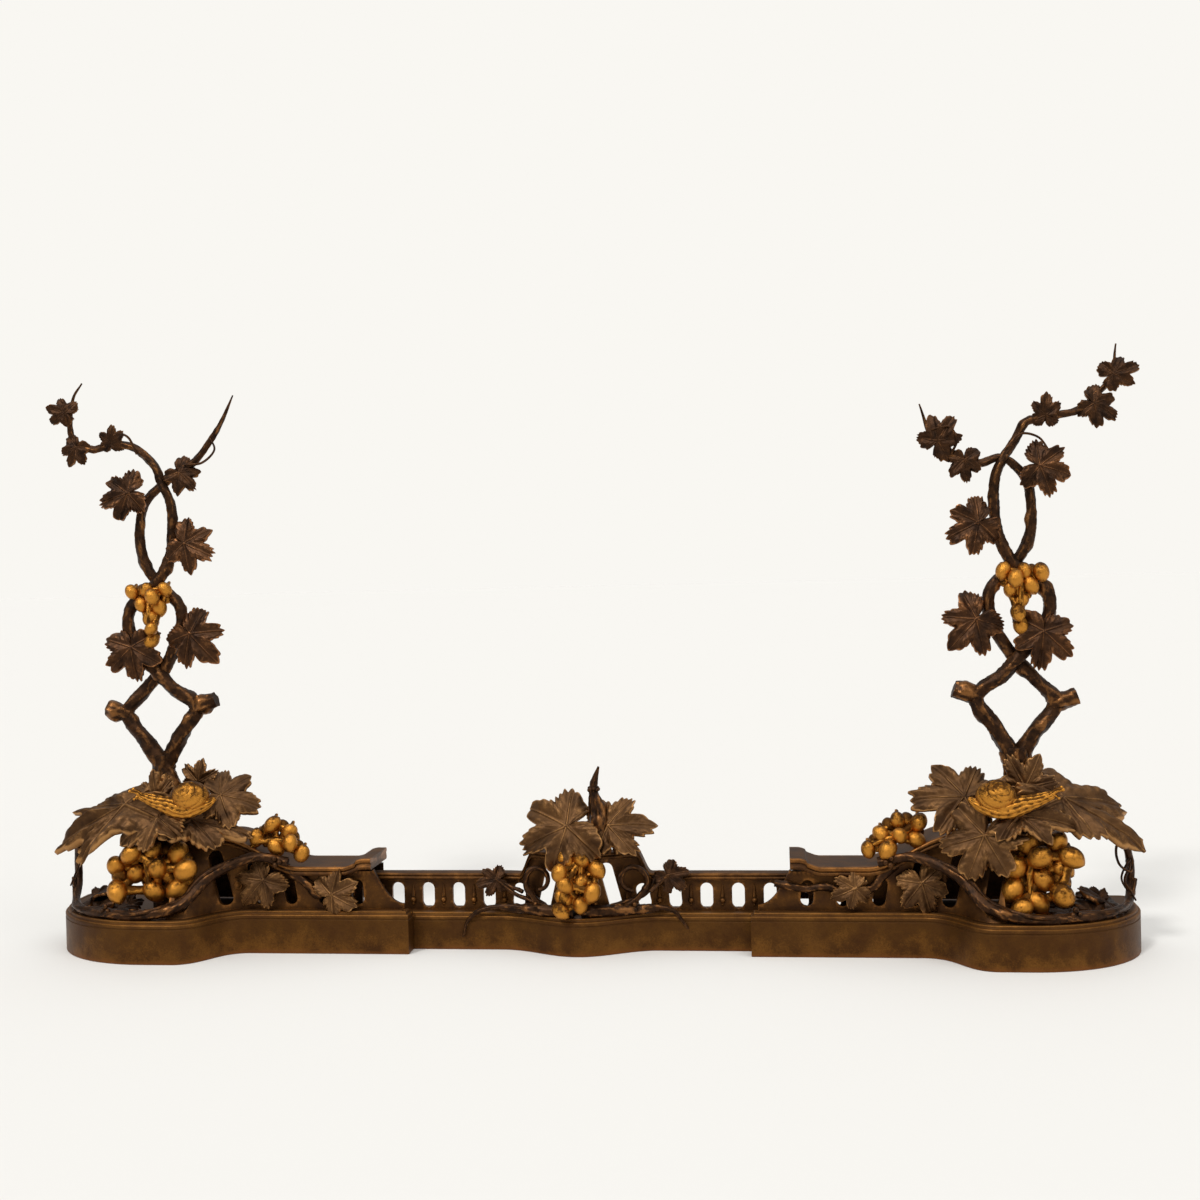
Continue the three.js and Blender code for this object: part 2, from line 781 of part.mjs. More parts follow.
// The rail in front view: a block at its inner end, a dip, and a sweep up to the shelf.
function shelfRail() {
  const blockEnd = railInnerEnd + blockLength;
  const dipStart = blockEnd + blockSlope;
  const sweep = (shelfStart - dipEnd) * 0.4;
  const [low, high] = [dipUnderside, shelfUnderside];
  const shape = new THREE.Shape();
  shape.moveTo(railInnerEnd, low + blockRise);
  shape.quadraticCurveTo(blockEnd, low + blockRise, dipStart, low);
  shape.lineTo(dipEnd, low);
  shape.bezierCurveTo(dipEnd + sweep, low, shelfStart - sweep, high, shelfStart, high);
  shape.lineTo(shelfEnd, high);
  shape.lineTo(shelfEnd, shelfTop);
  shape.lineTo(shelfStart, shelfTop);
  const top = low + railThickness;
  shape.bezierCurveTo(shelfStart - sweep, shelfTop, dipEnd + sweep, top, dipEnd, top);
  shape.lineTo(dipStart, top);
  shape.lineTo(blockEnd, top + blockRise + blockCrown);
  shape.lineTo(railInnerEnd, top + blockRise + blockCrown);
  const [front, back] = [-railFront, railDepth - railFront];
  const rail = board(shape, front, back, 6);
  const plan = new THREE.Shape();
  const round = railDepth / 2;
  plan.moveTo(0, back);
  plan.lineTo(0, front);
  plan.lineTo(shelfEnd - round, front);
  plan.absarc(shelfEnd - round, front + round, round, -Math.PI / 2, Math.PI / 2, false);
  const rounded = slab(plan.getPoints(5), 0, shelfTop + 1);
  const boltHole = pin(trunkReach, -trunkForward, 0, shelfTop + 1, boltRadius + seatGap);
  return rail.intersect(rounded).subtract(boltHole);
}

// The height of the rail's underside at x.
function railUnderside(x) {
  const climb = THREE.MathUtils.smoothstep(x, dipEnd, shelfStart);
  return dipUnderside + shelfRise * climb;
}

// The pierced wall under the rail. Its foot follows the plinth's front, and past the rail's inner
// end it falls away in a hollow curve.
function endFrieze() {
  const foot = inset(plinthPlan(), ledge);
  const wallTop = -frontStep + ledge;
  const tailStart = railInnerEnd - tailReach;
  const tailSteps = 4;
  const stations = [];
  const lowZ = plinthHeight - plateSeat;
  const tail = (share) => {
    const rise = dipUnderside + blockRise - plinthHeight - tailHeight;
    return plinthHeight + tailHeight + rise * share * share;
  };
  for (let i = 0; i < tailSteps; i++) {
    const x = tailStart + (tailReach * i) / tailSteps;
    stations.push({ x, low: [wallTop, lowZ], high: [wallTop, tail(i / tailSteps)] });
  }
  const bodySteps = 14;
  for (let i = 0; i <= bodySteps; i++) {
    const x = railInnerEnd + ((friezeEnd - railInnerEnd) * i) / bodySteps;
    const low = [Math.min(wallTop, frontOf(foot, x)), lowZ];
    stations.push({ x, low, high: [wallTop, railUnderside(x) + 2 * blockRise] });
  }
  const slots = [];
  for (let i = 0; i < endSlotCount; i++) {
    const x = endSlotStart + i * endSlotPitch;
    const high = railUnderside(x) - slotMargin;
    slots.push(slot(x, plinthHeight + slotMargin, high, 0.05 + 0.05 * i));
  }
  return piercedWall(stations, slots);
}

// The turned pillar that carries the shelf, out of sight behind the grapes.
function pedestal() {
  const height = shelfUnderside - plinthHeight;
  const bore = boltRadius + seatGap;
  const profile = [
    [bore, 0],
    [pedestalFoot, 0],
    [pedestalFoot, 0.12 * height],
    [pedestalWaist, 0.3 * height],
    [pedestalWaist, 0.7 * height],
    [pedestalFoot, 0.9 * height],
    [pedestalFoot, height],
    [bore, height],
    [bore, 0],
  ];
  const geometry = new THREE.LatheGeometry(
    profile.map(([radius, z]) => new THREE.Vector2(radius, z)),
    12,
  );
  geometry.rotateX(Math.PI / 2);
  geometry.translate(trunkReach, -trunkForward, plinthHeight);
  return solid(geometry);
}

// The bolt from under the plinth's top into the trunk.
function tieBolt() {
  const under = plinthHeight - wall - plinthLip - seatGap;
  const top = shelfTop + 2 * trunkRadius;
  const [x, y] = [trunkReach, -trunkForward];
  const shank = pin(x, y, under - boltHeadHeight, top, boltRadius);
  return shank.add(pin(x, y, under - boltHeadHeight, under, boltHeadRadius, 6));
}

// The iron loop under the plinth's top that the slide bar runs in.
function guideStrap() {
  const top = plinthHeight - wall - plinthLip - seatGap;
  const spread = strapWall + slideGap / 2;
  const low = [strapStart, barFront - spread, barLow - spread];
  const body = box(low, [strapStart + strapWidth, barBack + spread, top]);
  const gap = slideGap / 2;
  const way = box(
    [strapStart - 1, barFront - gap, barLow - gap],
    [strapStart + strapWidth + 1, barBack + gap, barLow + barHeight + gap],
  );
  return body.subtract(way);
}

// The two stems of the trellis, from the foot of the trunk: across outwards, back, up. They part
// at the trunk, cross, bow out round the grapes, cross again, make a loop and meet at its top.
const trellisStems = [
  [
    [0, 0, 80],
    [-20, 0, 112],
    [-40, 0, 146],
    [-13, -3, 169],
    [3, -3, 187],
    [27, 0, 214],
    [38, 0, 239],
    [33, 0, 261],
    [3, -3, 284],
    [-13, 0, 315],
    [-18, 0, 350],
    [-16, -2, 381],
    [-8, -2, 399],
  ],
  [
    [0, 1, 80],
    [20, 0, 108],
    [42, 0, 140],
    [21, 3, 165],
    [1, 3, 187],
    [-17, 0, 214],
    [-26, 0, 239],
    [-23, 0, 261],
    [0, 3, 284],
    [16, 0, 310],
    [21, 0, 345],
    [15, 2, 378],
    [-8, 2, 400],
  ],
];
const cutStubs = [
  [[-37, 0, 144], [-64, 0, 154]],
  [[39, 0, 138], [64, 0, 146]],
];

// The top branches and their small leaves differ from one end to the other.
const treetops = {
  left: {
    twigs: [
      [
        ...[[2, 0, 421], [24, 0, 441], [49, 0, 446], [75, 0, 441]],
        ...[[91, 0, 447], [100, 0, 460], [96, 0, 500], [85, 0, 518]],
      ],
      [[-28, 0, 415], [-45, 0, 423], [-67, 0, 449], [-80, 0, 470], [-93, 0, 497]],
    ],
    leaves: [
      { hub: [104, -6, 484], tip: [126, -9, 491], face: [0.2, -1, 0.2] },
      { hub: [50, -6, 448], tip: [50, -9, 469], face: [0, -1, 0.1] },
      { hub: [92, -6, 444], tip: [102, -9, 423], face: [0, -1, 0.2] },
      { hub: [-30, -7, 412], tip: [-50, -11, 393], face: [-0.2, -1, 0.2] },
    ],
  },
  right: {
    twigs: [
      [
        ...[[6, 0, 420], [17, 0, 437], [41, 0, 442], [78, 0, 450]],
        ...[[86, 0, 461], [104, 0, 479], [110, 0, 516]],
      ],
      [[-32, 0, 395], [-50, 0, 399], [-65, 0, 407], [-81, 0, 423], [-94, 0, 460]],
    ],
    leaves: [
      { hub: [36, -6, 443], tip: [38, -9, 466], face: [0, -1, 0.2] },
      { hub: [86, -6, 454], tip: [110, -9, 439], face: [0, -1, 0.2] },
      { hub: [106, -6, 484], tip: [131, -9, 493], face: [0.2, -1, 0.3] },
      { hub: [-48, -6, 399], tip: [-46, -9, 374], face: [0, -1, 0.2] },
      { hub: [-76, -6, 420], tip: [-58, -9, 446], face: [0, -1, 0.2] },
    ],
  },
};

// The trellis: a forked trunk, a diamond, a ring, a loop and two branches, all one casting.
function trellis(side) {
  const foot = [trunkReach, -trunkForward, shelfTop];
  const trunk = stem(
    moved(foot, [[0, 0, -2], [0, 0, 40], [0, 0, 84]]),
    [1.35 * trunkRadius, trunkRadius, trunkRadius],
    8,
  );
  const { twigs, leaves } = treetops[side];
  const radii = [9, stemRadius, stemRadius, loopRadius, loopRadius, twigRadius, twigTipRadius];
  const routes = trellisStems.map((route, i) => moved(foot, [...route, ...twigs[i]]));
  const stems = routes.map((route) => stem(route, radii, 5));
  const stubs = cutStubs.map((route) => stem(moved(foot, route), [stemRadius, stemRadius + 0.5], 5));
  const smallLeaves = leaves.map(({ hub, tip, face }) => {
    const [hubAt, tipAt] = moved(foot, [hub, tip]);
    return leaf({ hub: hubAt, tip: tipAt, face, breadth: 0.9, half: plainOutline, rings: [1] });
  });
  const boreTop = shelfTop + 2 * trunkRadius + 1;
  const bore = pin(foot[0], foot[1], shelfTop - 3, boreTop, boltRadius + seatGap);
  return grown(join([trunk, ...stems, ...stubs, ...smallLeaves]), foot).subtract(bore);
}

// Leaves on the trellis, from the foot of the trunk.
const trellisLeaves = [
  { name: "low_inner", hub: [-40, -14, 230], tip: [-68, -20, 200], root: [-22, -2, 236] },
  { name: "low_outer", hub: [29, -15, 216], tip: [24, -21, 176], root: [27, -2, 220] },
  { name: "mid_inner", hub: [-36, -14, 332], tip: [-69, -20, 317], root: [-16, -2, 336] },
  { name: "high_outer", hub: [28, -14, 390], tip: [61, -20, 380], root: [14, -2, 382] },
];

const trellisBerries = [
  [8, -4],
  [-14, -4],
  [25, -6],
  [-3, -12],
  [14, -20],
  [-7, -24],
  [4, -36],
  [-1, -48],
  [3, -62],
];

// Canopy leaves, from the foot of the trunk.
const canopies = {
  left: {
    leaf_snail: {
      hub: [-44, -32, 22],
      tip: [-112, -30, 6],
      face: [-0.1, -0.55, 0.85],
      breadth: 0.85,
      root: [-20, 0, 8],
    },
    leaf_front: { hub: [-12, -44, 22], tip: [30, -56, -2], face: [0.1, -0.75, 0.65], root: [-2, -2, 14] },
    leaf_inner: { hub: [-70, -10, 46], tip: [-122, -14, 34], face: [-0.2, -0.75, 0.6], root: [-6, 2, 16] },
    leaf_outer: {
      hub: [36, -32, 34],
      tip: [144, -36, -14],
      face: [0.3, -0.45, 0.85],
      breadth: 0.5,
      root: [8, 0, 20],
    },
    leaf_back: { hub: [-38, 4, 60], tip: [-42, 0, 86], face: [0, -0.9, 0.4], root: [-4, 2, 34] },
  },
  right: {
    leaf_snail: { hub: [-6, -36, 24], tip: [44, -46, 2], face: [0.2, -0.6, 0.75], root: [-2, 0, 12] },
    leaf_front: { hub: [-48, -42, 12], tip: [-74, -54, -42], face: [-0.1, -0.85, 0.5], root: [-16, 0, 4] },
    leaf_inner: { hub: [-56, -14, 42], tip: [-110, -16, 44], face: [-0.2, -0.8, 0.55], root: [-6, 2, 22] },
    leaf_outer: {
      hub: [44, -22, 42],
      tip: [143, -30, -6],
      face: [0.3, -0.6, 0.75],
      breadth: 0.66,
      root: [8, 0, 24],
    },
    leaf_back: { hub: [6, -21, 52], tip: [22, -25, 86], face: [0.1, -0.95, 0.3], root: [0, -2, 42] },
  },
};

const snailShell = [23, 18, 17]; // half its length, depth and height
const snailPlaces = { left: [-50, -34, 56], right: [-28, -34, 50] };

// A snail with its head outwards: a tapered foot, two horns and a round shell.
function snail(centre) {
  const foot = [[-30, 0, -10], [-12, -2, -22], [14, -3, -23], [38, -3, -18], [56, -3, -9], [64, -3, -4]];
  const horns = [[[60, -5, -6], [70, -9, 3]], [[60, 0, -6], [70, 3, 3]]];
  const shell = new THREE.SphereGeometry(1, 8, 6);
  shell.scale(...snailShell);
  shell.translate(...centre);
  return join([
    stem(moved(centre, foot), [3, 8, 10, 9.5, 7, 4.5], 6),
    ...horns.map((horn) => stem(moved(centre, horn), [1.6, 1.2], 3)),
    solid(shell),
  ]);
}

// The hoop of vine: from a knot under the rail, down and round the plinth's end, and up to the
// outer leaf. Where it lies on the plinth its places come from the plinth's own plan.
function vineRim() {
  const edge = inset(plinthPlan(), 2 * rimRadius);
  const lying = plinthHeight + rimRadius;
  const onEdge = (share) => {
    const x = roundingStart + share * (endLength - roundingStart);
    return [x, frontOf(edge, x), lying];
  };
  const knotZ = shelfTop - 22;
  const outer = endLength - 2 * rimRadius;
  const route = [
    [dipEnd + 11, -railFront - rimRadius, knotZ - 6],
    [(dipEnd + shelfStart) / 2 + 2, -railFront - rimRadius - 3, knotZ],
    [shelfStart - 1, -railFront - 24, knotZ - 16],
    [straightLength + sweepLength - 10, -railFront - 46, plinthHeight + 16],
    ...[0, 0.37, 0.65].map(onEdge),
    [outer - 8, roundingBack - 34, lying + 2],
    [outer, roundingBack - 10, lying + 20],
    [outer - 1, roundingBack - 12, lying + 44],
    [outer - 8, roundingBack - 24, lying + 66],
  ];
  return stem(route, [rimRadius, rimRadius + 1, rimRadius, rimRadius, rimRadius - 1], 5, 2);
}

const largeBerries = {
  left: [
    ...[[6, 70], [24, 70], [-25, 67], [47, 54], [-8, 54]],
    ...[[-40, 52], [23, 46], [38, 29], [-26, 30], [1, 27]],
  ],
  right: [
    ...[[6, 78], [36, 78], [16, 66], [48, 66], [-6, 53], [41, 52]],
    ...[[20, 42], [-11, 30], [37, 28], [14, 18], [-4, 15]],
  ],
};

const smallBerries = {
  left: [[-126, 12], [-108, -2], [-146, 4], [-131, -12], [-151, -6], [-161, -20]],
  right: [[-125, 14], [-103, 12], [-143, 0], [-124, 0], [-106, -6], [-157, -16], [-137, -14]],
};

// The vine on the pierced wall and its two leaves: across from the trunk, up from the plinth.
const sideVines = {
  left: {
    route: [[-142, 49], [-150, 41], [-164, 31], [-178, 17], [-192, 21]],
    leaves: {
      side_leaf_large: { hub: [-118, 35], tip: [-94, 9] },
      side_leaf_small: { hub: [-196, 19], tip: [-226, 33] },
    },
  },
  right: {
    route: [[-128, 51], [-142, 39], [-156, 25], [-180, 23], [-206, 27], [-224, 25], [-258, 31]],
    leaves: {
      side_leaf_large: { hub: [-102, 33], tip: [-92, -1] },
      side_leaf_small: { hub: [-172, 27], tip: [-196, 17] },
    },
  },
};
const sideLeafForward = 9; // the hubs of the side leaves hang this far before their vine
const sideLeafLean = 3; // and their tips this much further

// A leaf on the pierced wall, whose stalk comes from nearer the start of its vine.
function sideLeaf({ hub, tip }, vineStart, at) {
  const rootAcross = THREE.MathUtils.lerp(hub[0], vineStart[0], 0.3);
  return leaf({
    hub: at(hub, sideLeafForward),
    tip: at(tip, sideLeafForward + sideLeafLean),
    face: [0, -1, 0.1],
    root: at([rootAcross, hub[1] + 6], 0),
    rings: [1],
  });
}

function endSection(side) {
  const section = new Section(side + "_");
  const foot = [trunkReach, -trunkForward, shelfTop];
  section.add("plinth", endPlinth(), rustBronze);
  section.add("rail", shelfRail(), dullBronze);
  section.add("frieze", endFrieze(), dullBronze);
  section.add("pedestal", pedestal(), dullBronze);
  section.add("tie_bolt", tieBolt(), wroughtIron, true);
  section.add("guide_strap", guideStrap(), wroughtIron, true);
  section.add("trellis", trellis(side), darkBronze);
  for (const { name, ...places } of trellisLeaves) {
    const [hub, tip, root] = moved(foot, [places.hub, places.tip, places.root]);
    const form = { hub, tip, root, face: [0, -1, 0.15], breadth: 0.95, rings: [1] };
    section.add("trellis_leaf_" + name, grown(leaf(form), foot), darkBronze);
  }
  const bunchTop = moved(foot, [[3, 0, 284]])[0];
  bunchTop[1] -= stemRadius + 3;
  const hung = piled(bunchTop, trellisBerries, trellisBerry);
  const bunchStem = moved(bunchTop, [[3, 6, 2], [4, 0, -10], [3, -6, -34], [3, -4, -58]]);
  const hungBunch = bunch(bunchStem, [3, 2], hung, trellisBerry);
  section.add("trellis_grapes", grown(hungBunch, foot), giltBronze);
  section.add("snail", grown(snail(moved(foot, [snailPlaces[side]])[0]), foot), giltBronze);
  for (const [name, { hub, tip, face, breadth, root }] of Object.entries(canopies[side])) {
    const [hubAt, tipAt, rootAt] = moved(foot, [hub, tip, root]);
    const form = { hub: hubAt, tip: tipAt, face, breadth, root: rootAt };
    const blade = leaf(name === "leaf_back" ? { ...form, rings: [1] } : form);
    section.add(name, grown(blade, foot), dullBronze);
  }
  section.add("vine_rim", vineRim(), darkBronze);
  const base = [trunkReach, -trunkForward, plinthHeight];
  const large = piled(moved(base, [[0, -26, 0]])[0], largeBerries[side], largeBerry, 0.18);
  const largeStem = moved(base, [[10, -20, 80], [10, -34, 66], [6, -38, 44], [6, -40, 28]]);
  const largeBunch = bunch(largeStem, [4, 3], large, largeBerry);
  section.add("grapes_large", grown(largeBunch, base), giltBronze);
  const { route, leaves } = sideVines[side];
  const vineY = -frontStep + ledge - sideStemRadius + sideVineSink;
  const at = ([across, up], before) => [trunkReach + across, vineY - before, plinthHeight + up];
  const vinePlaces = route.map((place) => at(place, 0));
  section.add("side_vine", stem(vinePlaces, [sideStemRadius, sideStemRadius, 3.4]), darkBronze);
  for (const [name, places] of Object.entries(leaves)) {
    section.add(name, sideLeaf(places, route[0], at), dullBronze);
  }
  const small = piled(foot, smallBerries[side], smallBerry, 0.2);
  const smallStem = moved(foot, [[-96, -4, -18], [-110, -6, -8], [-134, -8, -4], [-152, -8, -10]]);
  const smallBunch = bunch(smallStem, [3, 2.5], small, smallBerry);
  section.add("grapes_small", grown(smallBunch, foot), giltBronze);
  return section.group;
}

// ---------------------------------------------------------------- the fender

const fender = new THREE.Group();
fender.add(centreSection());
for (const [side, outwards] of [["left", -1], ["right", 1]]) {
  const end = endSection(side);
  end.scale.x = outwards;
  end.position.x = outwards * halfOpening;
  fender.add(end);
}
fender.position.y = frameShift;

export default fender;
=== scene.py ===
"""Extending fire fender in patinated and gilt bronze, with vine stems, leaves, grapes and snails.

Lengths are millimetres in each section's own frame: x runs outwards from the section's start, y
from the room towards the fire with 0 at the front of the centre plinth, z up from the hearth.
Every skin is worked out on a grid of two parameters with numpy and turned to metres once, when
its mesh is made.
"""

import logging
from dataclasses import dataclass, replace
from enum import Enum
from functools import cached_property

import bmesh
import bpy
import numpy as np
from mathutils import Matrix, Vector
from mathutils.geometry import delaunay_2d_cdt


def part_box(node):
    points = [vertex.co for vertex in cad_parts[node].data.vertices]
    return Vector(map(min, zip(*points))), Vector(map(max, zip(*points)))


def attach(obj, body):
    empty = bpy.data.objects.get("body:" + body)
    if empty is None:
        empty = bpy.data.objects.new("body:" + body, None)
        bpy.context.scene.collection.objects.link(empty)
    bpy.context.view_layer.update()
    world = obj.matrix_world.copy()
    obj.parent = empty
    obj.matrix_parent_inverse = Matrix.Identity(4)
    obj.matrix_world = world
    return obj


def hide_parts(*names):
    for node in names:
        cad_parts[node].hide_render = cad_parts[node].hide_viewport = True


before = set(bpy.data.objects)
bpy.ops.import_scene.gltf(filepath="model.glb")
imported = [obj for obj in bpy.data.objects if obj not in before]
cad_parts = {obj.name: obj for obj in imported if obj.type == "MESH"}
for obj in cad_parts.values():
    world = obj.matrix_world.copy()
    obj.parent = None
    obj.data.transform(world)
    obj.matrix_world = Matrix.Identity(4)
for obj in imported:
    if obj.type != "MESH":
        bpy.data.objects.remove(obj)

MM = 0.001
TURN = 2 * np.pi
Points = tuple | list | np.ndarray
Socket = bpy.types.NodeSocket
log = logging.getLogger("fender")


# ------------------------------------------------------------------ skins


@dataclass
class Skin:
    """Points in millimetres with their faces, and how rubbed the metal is at each point, which also places
    painted highlights on raised places and edges.
    """

    points: np.ndarray
    quads: np.ndarray
    triangles: np.ndarray
    wear_and_sheen: np.ndarray

    @staticmethod
    def joined(skins: list["Skin"]) -> "Skin":
        """Put several skins, which may overlap, into one."""
        starts = np.cumsum([0] + [len(skin.points) for skin in skins[:-1]])
        return Skin(
            np.concatenate([skin.points for skin in skins]),
            np.concatenate([skin.quads + start for skin, start in zip(skins, starts)]),
            np.concatenate([skin.triangles + start for skin, start in zip(skins, starts)]),
            np.concatenate([skin.wear_and_sheen for skin in skins]),
        )


def grid_skin(points: np.ndarray, wear_and_sheen: np.ndarray | float, closed: bool = True, capped: bool = True) -> Skin:
    """Skin a grid of points.

    Args:
        points: Rows by columns by 3.
        wear_and_sheen: Rows by columns, or a single value.
        closed: Whether the last column joins the first.
        capped: Whether the first and last rows are closed by a fan round their middle.

    Returns:
        The skin, closed all over if both flags are set.
    """
    rows, columns = points.shape[:2]
    index = np.arange(rows * columns).reshape(rows, columns)
    after = np.roll(index, -1, 1)
    kept = slice(columns if closed else columns - 1)
    corners = [index[:-1, kept], after[:-1, kept], after[1:, kept], index[1:, kept]]
    quads = np.stack(corners, -1).reshape(-1, 4)
    flat = points.reshape(-1, 3)
    worn = np.broadcast_to(wear_and_sheen, (rows, columns)).reshape(-1)
    if not capped:
        return Skin(flat, quads, np.zeros((0, 3), int), worn)
    fans = []
    for middle, ring in ((rows * columns, index[0]), (rows * columns + 1, index[-1])):
        fans.append(np.stack([np.full(columns, middle), ring, np.roll(ring, -1)], -1))
    flat = np.concatenate([flat, [points[0].mean(0), points[-1].mean(0)]])
    worn = np.concatenate([worn, [worn[:columns].mean(), worn[-columns:].mean()]])
    return Skin(flat, quads, np.concatenate(fans), worn)


def unit(vectors: np.ndarray) -> np.ndarray:
    """Each vector divided by its length."""
    return vectors / np.maximum(np.linalg.norm(vectors, axis=-1, keepdims=True), 1e-9)


def smoothstep(values: np.ndarray, low: float, high: float) -> np.ndarray:
    """0 up to low, 1 from high on, and an eased climb between."""
    share = np.clip((values - low) / (high - low), 0, 1)
    return share * share * (3 - 2 * share)


def spread(*parts: np.ndarray) -> np.ndarray:
    """Points whose x, y and z are grids, widened to one shape."""
    return np.stack(np.broadcast_arrays(*parts), -1)


def around(count: int) -> np.ndarray:
    """Even angles round a whole turn."""
    return np.linspace(0, TURN, count, endpoint=False)


def smooth_route(route: Points, spacing: float) -> tuple[np.ndarray, np.ndarray]:
    """A smooth curve through the points of a route, as a centripetal Catmull-Rom spline.

    Each span between two points blends three straight lines through its four nearest points, with
    knots spaced by the square root of the distance between points.

    Args:
        route: Points, in millimetres.
        spacing: Distance between samples.

    Returns:
        The samples, and how far along the curve each lies.
    """
    knots = np.asarray(route, float)
    ends = np.concatenate([[2 * knots[0] - knots[1]], knots, [2 * knots[-1] - knots[-2]]])
    length = np.linalg.norm(np.diff(knots, axis=0), axis=1).sum()
    place = np.linspace(0, len(knots) - 1, max(4, int(length / spacing)) + 1)
    span = np.minimum(place.astype(int), len(knots) - 2)
    p = [ends[span + i] for i in range(4)]
    gaps = [np.sqrt(np.linalg.norm(p[i + 1] - p[i], axis=1))[:, None] for i in range(3)]
    t = np.cumsum([np.zeros_like(gaps[0]), *gaps], axis=0)
    here = t[1] + (place - span)[:, None] * (t[2] - t[1])
    for pairs in (((0, 1), (1, 2), (2, 3)), ((0, 2), (1, 3)), ((1, 2),)):
        p = [
            ((t[b] - here) * p[i] + (here - t[a]) * p[i + 1]) / (t[b] - t[a])
            for i, (a, b) in enumerate(pairs)
        ]
    steps = np.linalg.norm(np.diff(p[0], axis=0), axis=1)
    return p[0], np.concatenate([[0], np.cumsum(steps)])


def ripples(
    rng: np.random.Generator, angle: np.ndarray, along: np.ndarray, turns: tuple, lengths: tuple
) -> np.ndarray:
    """A rough pattern round and along a stem: a sum of seven cosine waves.

    Each wave is cos(m * angle + along / length + phase), with a whole number m drawn from turns
    and a length drawn from lengths, so the pattern closes round the stem.
    """
    count = 7
    total = 0
    for _ in range(count):
        m = rng.integers(*turns)
        slope = TURN * rng.choice([-1, 1]) / rng.uniform(*lengths)
        total = total + np.cos(m * angle + slope * along + rng.uniform(0, TURN))
    return total / np.sqrt(count)


@dataclass(frozen=True)
class Bark:
    """How rough a stem is: ridge depth as a share of its radius, and its knots."""

    depth: float = 0.12
    ridge_turns: tuple[int, int] = (2, 7)
    ridge_lengths: tuple[float, float] = (30, 90)
    crack_turns: tuple[int, int] = (4, 11)
    crack_lengths: tuple[float, float] = (6, 16)
    crack_share: float = 0.3
    knots: int = 0
    knot_height: float = 0.35

    def relief(self, rng: np.random.Generator, angle: np.ndarray, along: np.ndarray, radius: np.ndarray):
        """Ridges along the stem, cracks across them and round knots.

        Args:
            rng: Source of the pattern's phases.
            angle: Angles round the stem, a row.
            along: Distances along the stem, a column.
            radius: The stem's radius at each distance, a column.

        Returns:
            The relief as a share of the radius, and the wear that goes with it: rubbed metal and painted
            highlights on ridges and knots.
        """
        ridges = np.tanh(1.4 * ripples(rng, angle, along, self.ridge_turns, self.ridge_lengths))
        cracks = ripples(rng, angle, along, self.crack_turns, self.crack_lengths)
        relief = self.depth * (0.75 * ridges + self.crack_share * cracks)
        wear_and_sheen = 0.45 + 0.3 * ridges + 0.5 * self.crack_share * cracks
        for _ in range(self.knots):
            middle = rng.uniform(0.08, 0.92) * along.max()
            facing = 0.5 + 0.5 * np.cos(angle - rng.uniform(0, TURN))
            lump = np.exp(-(((along - middle) / (0.9 * radius)) ** 2)) * facing**2
            relief = relief + self.knot_height * lump
            wear_and_sheen = wear_and_sheen + 0.3 * lump
        return relief, wear_and_sheen


SMOOTH = Bark(0.02)
TWIG = Bark(0.12, knots=3)
VINE = Bark(0.15, knots=9, knot_height=0.3)
TRUNK = Bark(0.16, (4, 10), (40, 120), knots=5)


def tube(
    route: Points, radii: list, bark: Bark = SMOOTH, sides: int = 16, spacing: float = 2.5, seed: int = 0
) -> Skin:
    """A stem: a round section carried along a smooth route.

    Point (i, j) is curve(i) + radius(i) * (1 + relief) * (cos(angle j) * normal + sin(angle j) *
    binormal), where the normal is the axis of the frame that the route leans least to, made square
    to the route.

    Args:
        route: Listed points.
        radii: Radii at even shares of the length.
        bark: The stem's roughness.
        sides: Points round the stem.
        spacing: Distance between rings.
        seed: Which of the bark's patterns.

    Returns:
        A closed skin.
    """
    curve, along = smooth_route(route, spacing)
    tangent = unit(np.gradient(curve, axis=0))
    reference = np.eye(3)[np.argmin(np.abs(tangent).max(0))]
    normal = unit(reference - (tangent @ reference)[:, None] * tangent)
    binormal = np.cross(tangent, normal)
    angle = around(sides)[None, :]
    radius = np.interp(along / along[-1], np.linspace(0, 1, len(radii)), radii)[:, None]
    relief, wear_and_sheen = bark.relief(np.random.default_rng(seed), angle, along[:, None], radius)
    reach = (radius * (1 + relief))[..., None]
    ring = np.cos(angle)[..., None] * normal[:, None] + np.sin(angle)[..., None] * binormal[:, None]
    return grid_skin(curve[:, None] + reach * ring, wear_and_sheen)


def lathe(
    profile: Points, middle: Points, sides: int = 24, order: tuple = (0, 1, 2), wear_and_sheen: float = 0.5
) -> Skin:
    """A turned form: (radius, height) points carried round an axis through a middle point.

    The order says which of the two ways across, 0 and 1, and the height, 2, run along x, y and z.
    """
    radius, height = np.asarray(profile, float).T[..., None]
    points = spread(radius * np.cos(around(sides)), radius * np.sin(around(sides)), height)
    return grid_skin(points[..., list(order)] + np.asarray(middle, float), wear_and_sheen)


def ball(middle: Points, radius: float, sides: int = 14, wear_and_sheen: float = 0.6) -> Skin:
    """A small round bead."""
    polar = np.linspace(0.12, np.pi - 0.12, 9)
    return lathe(radius * np.column_stack([np.sin(polar), np.cos(polar)]), middle, sides, wear_and_sheen=wear_and_sheen)


# ------------------------------------------------------------------ vine leaves


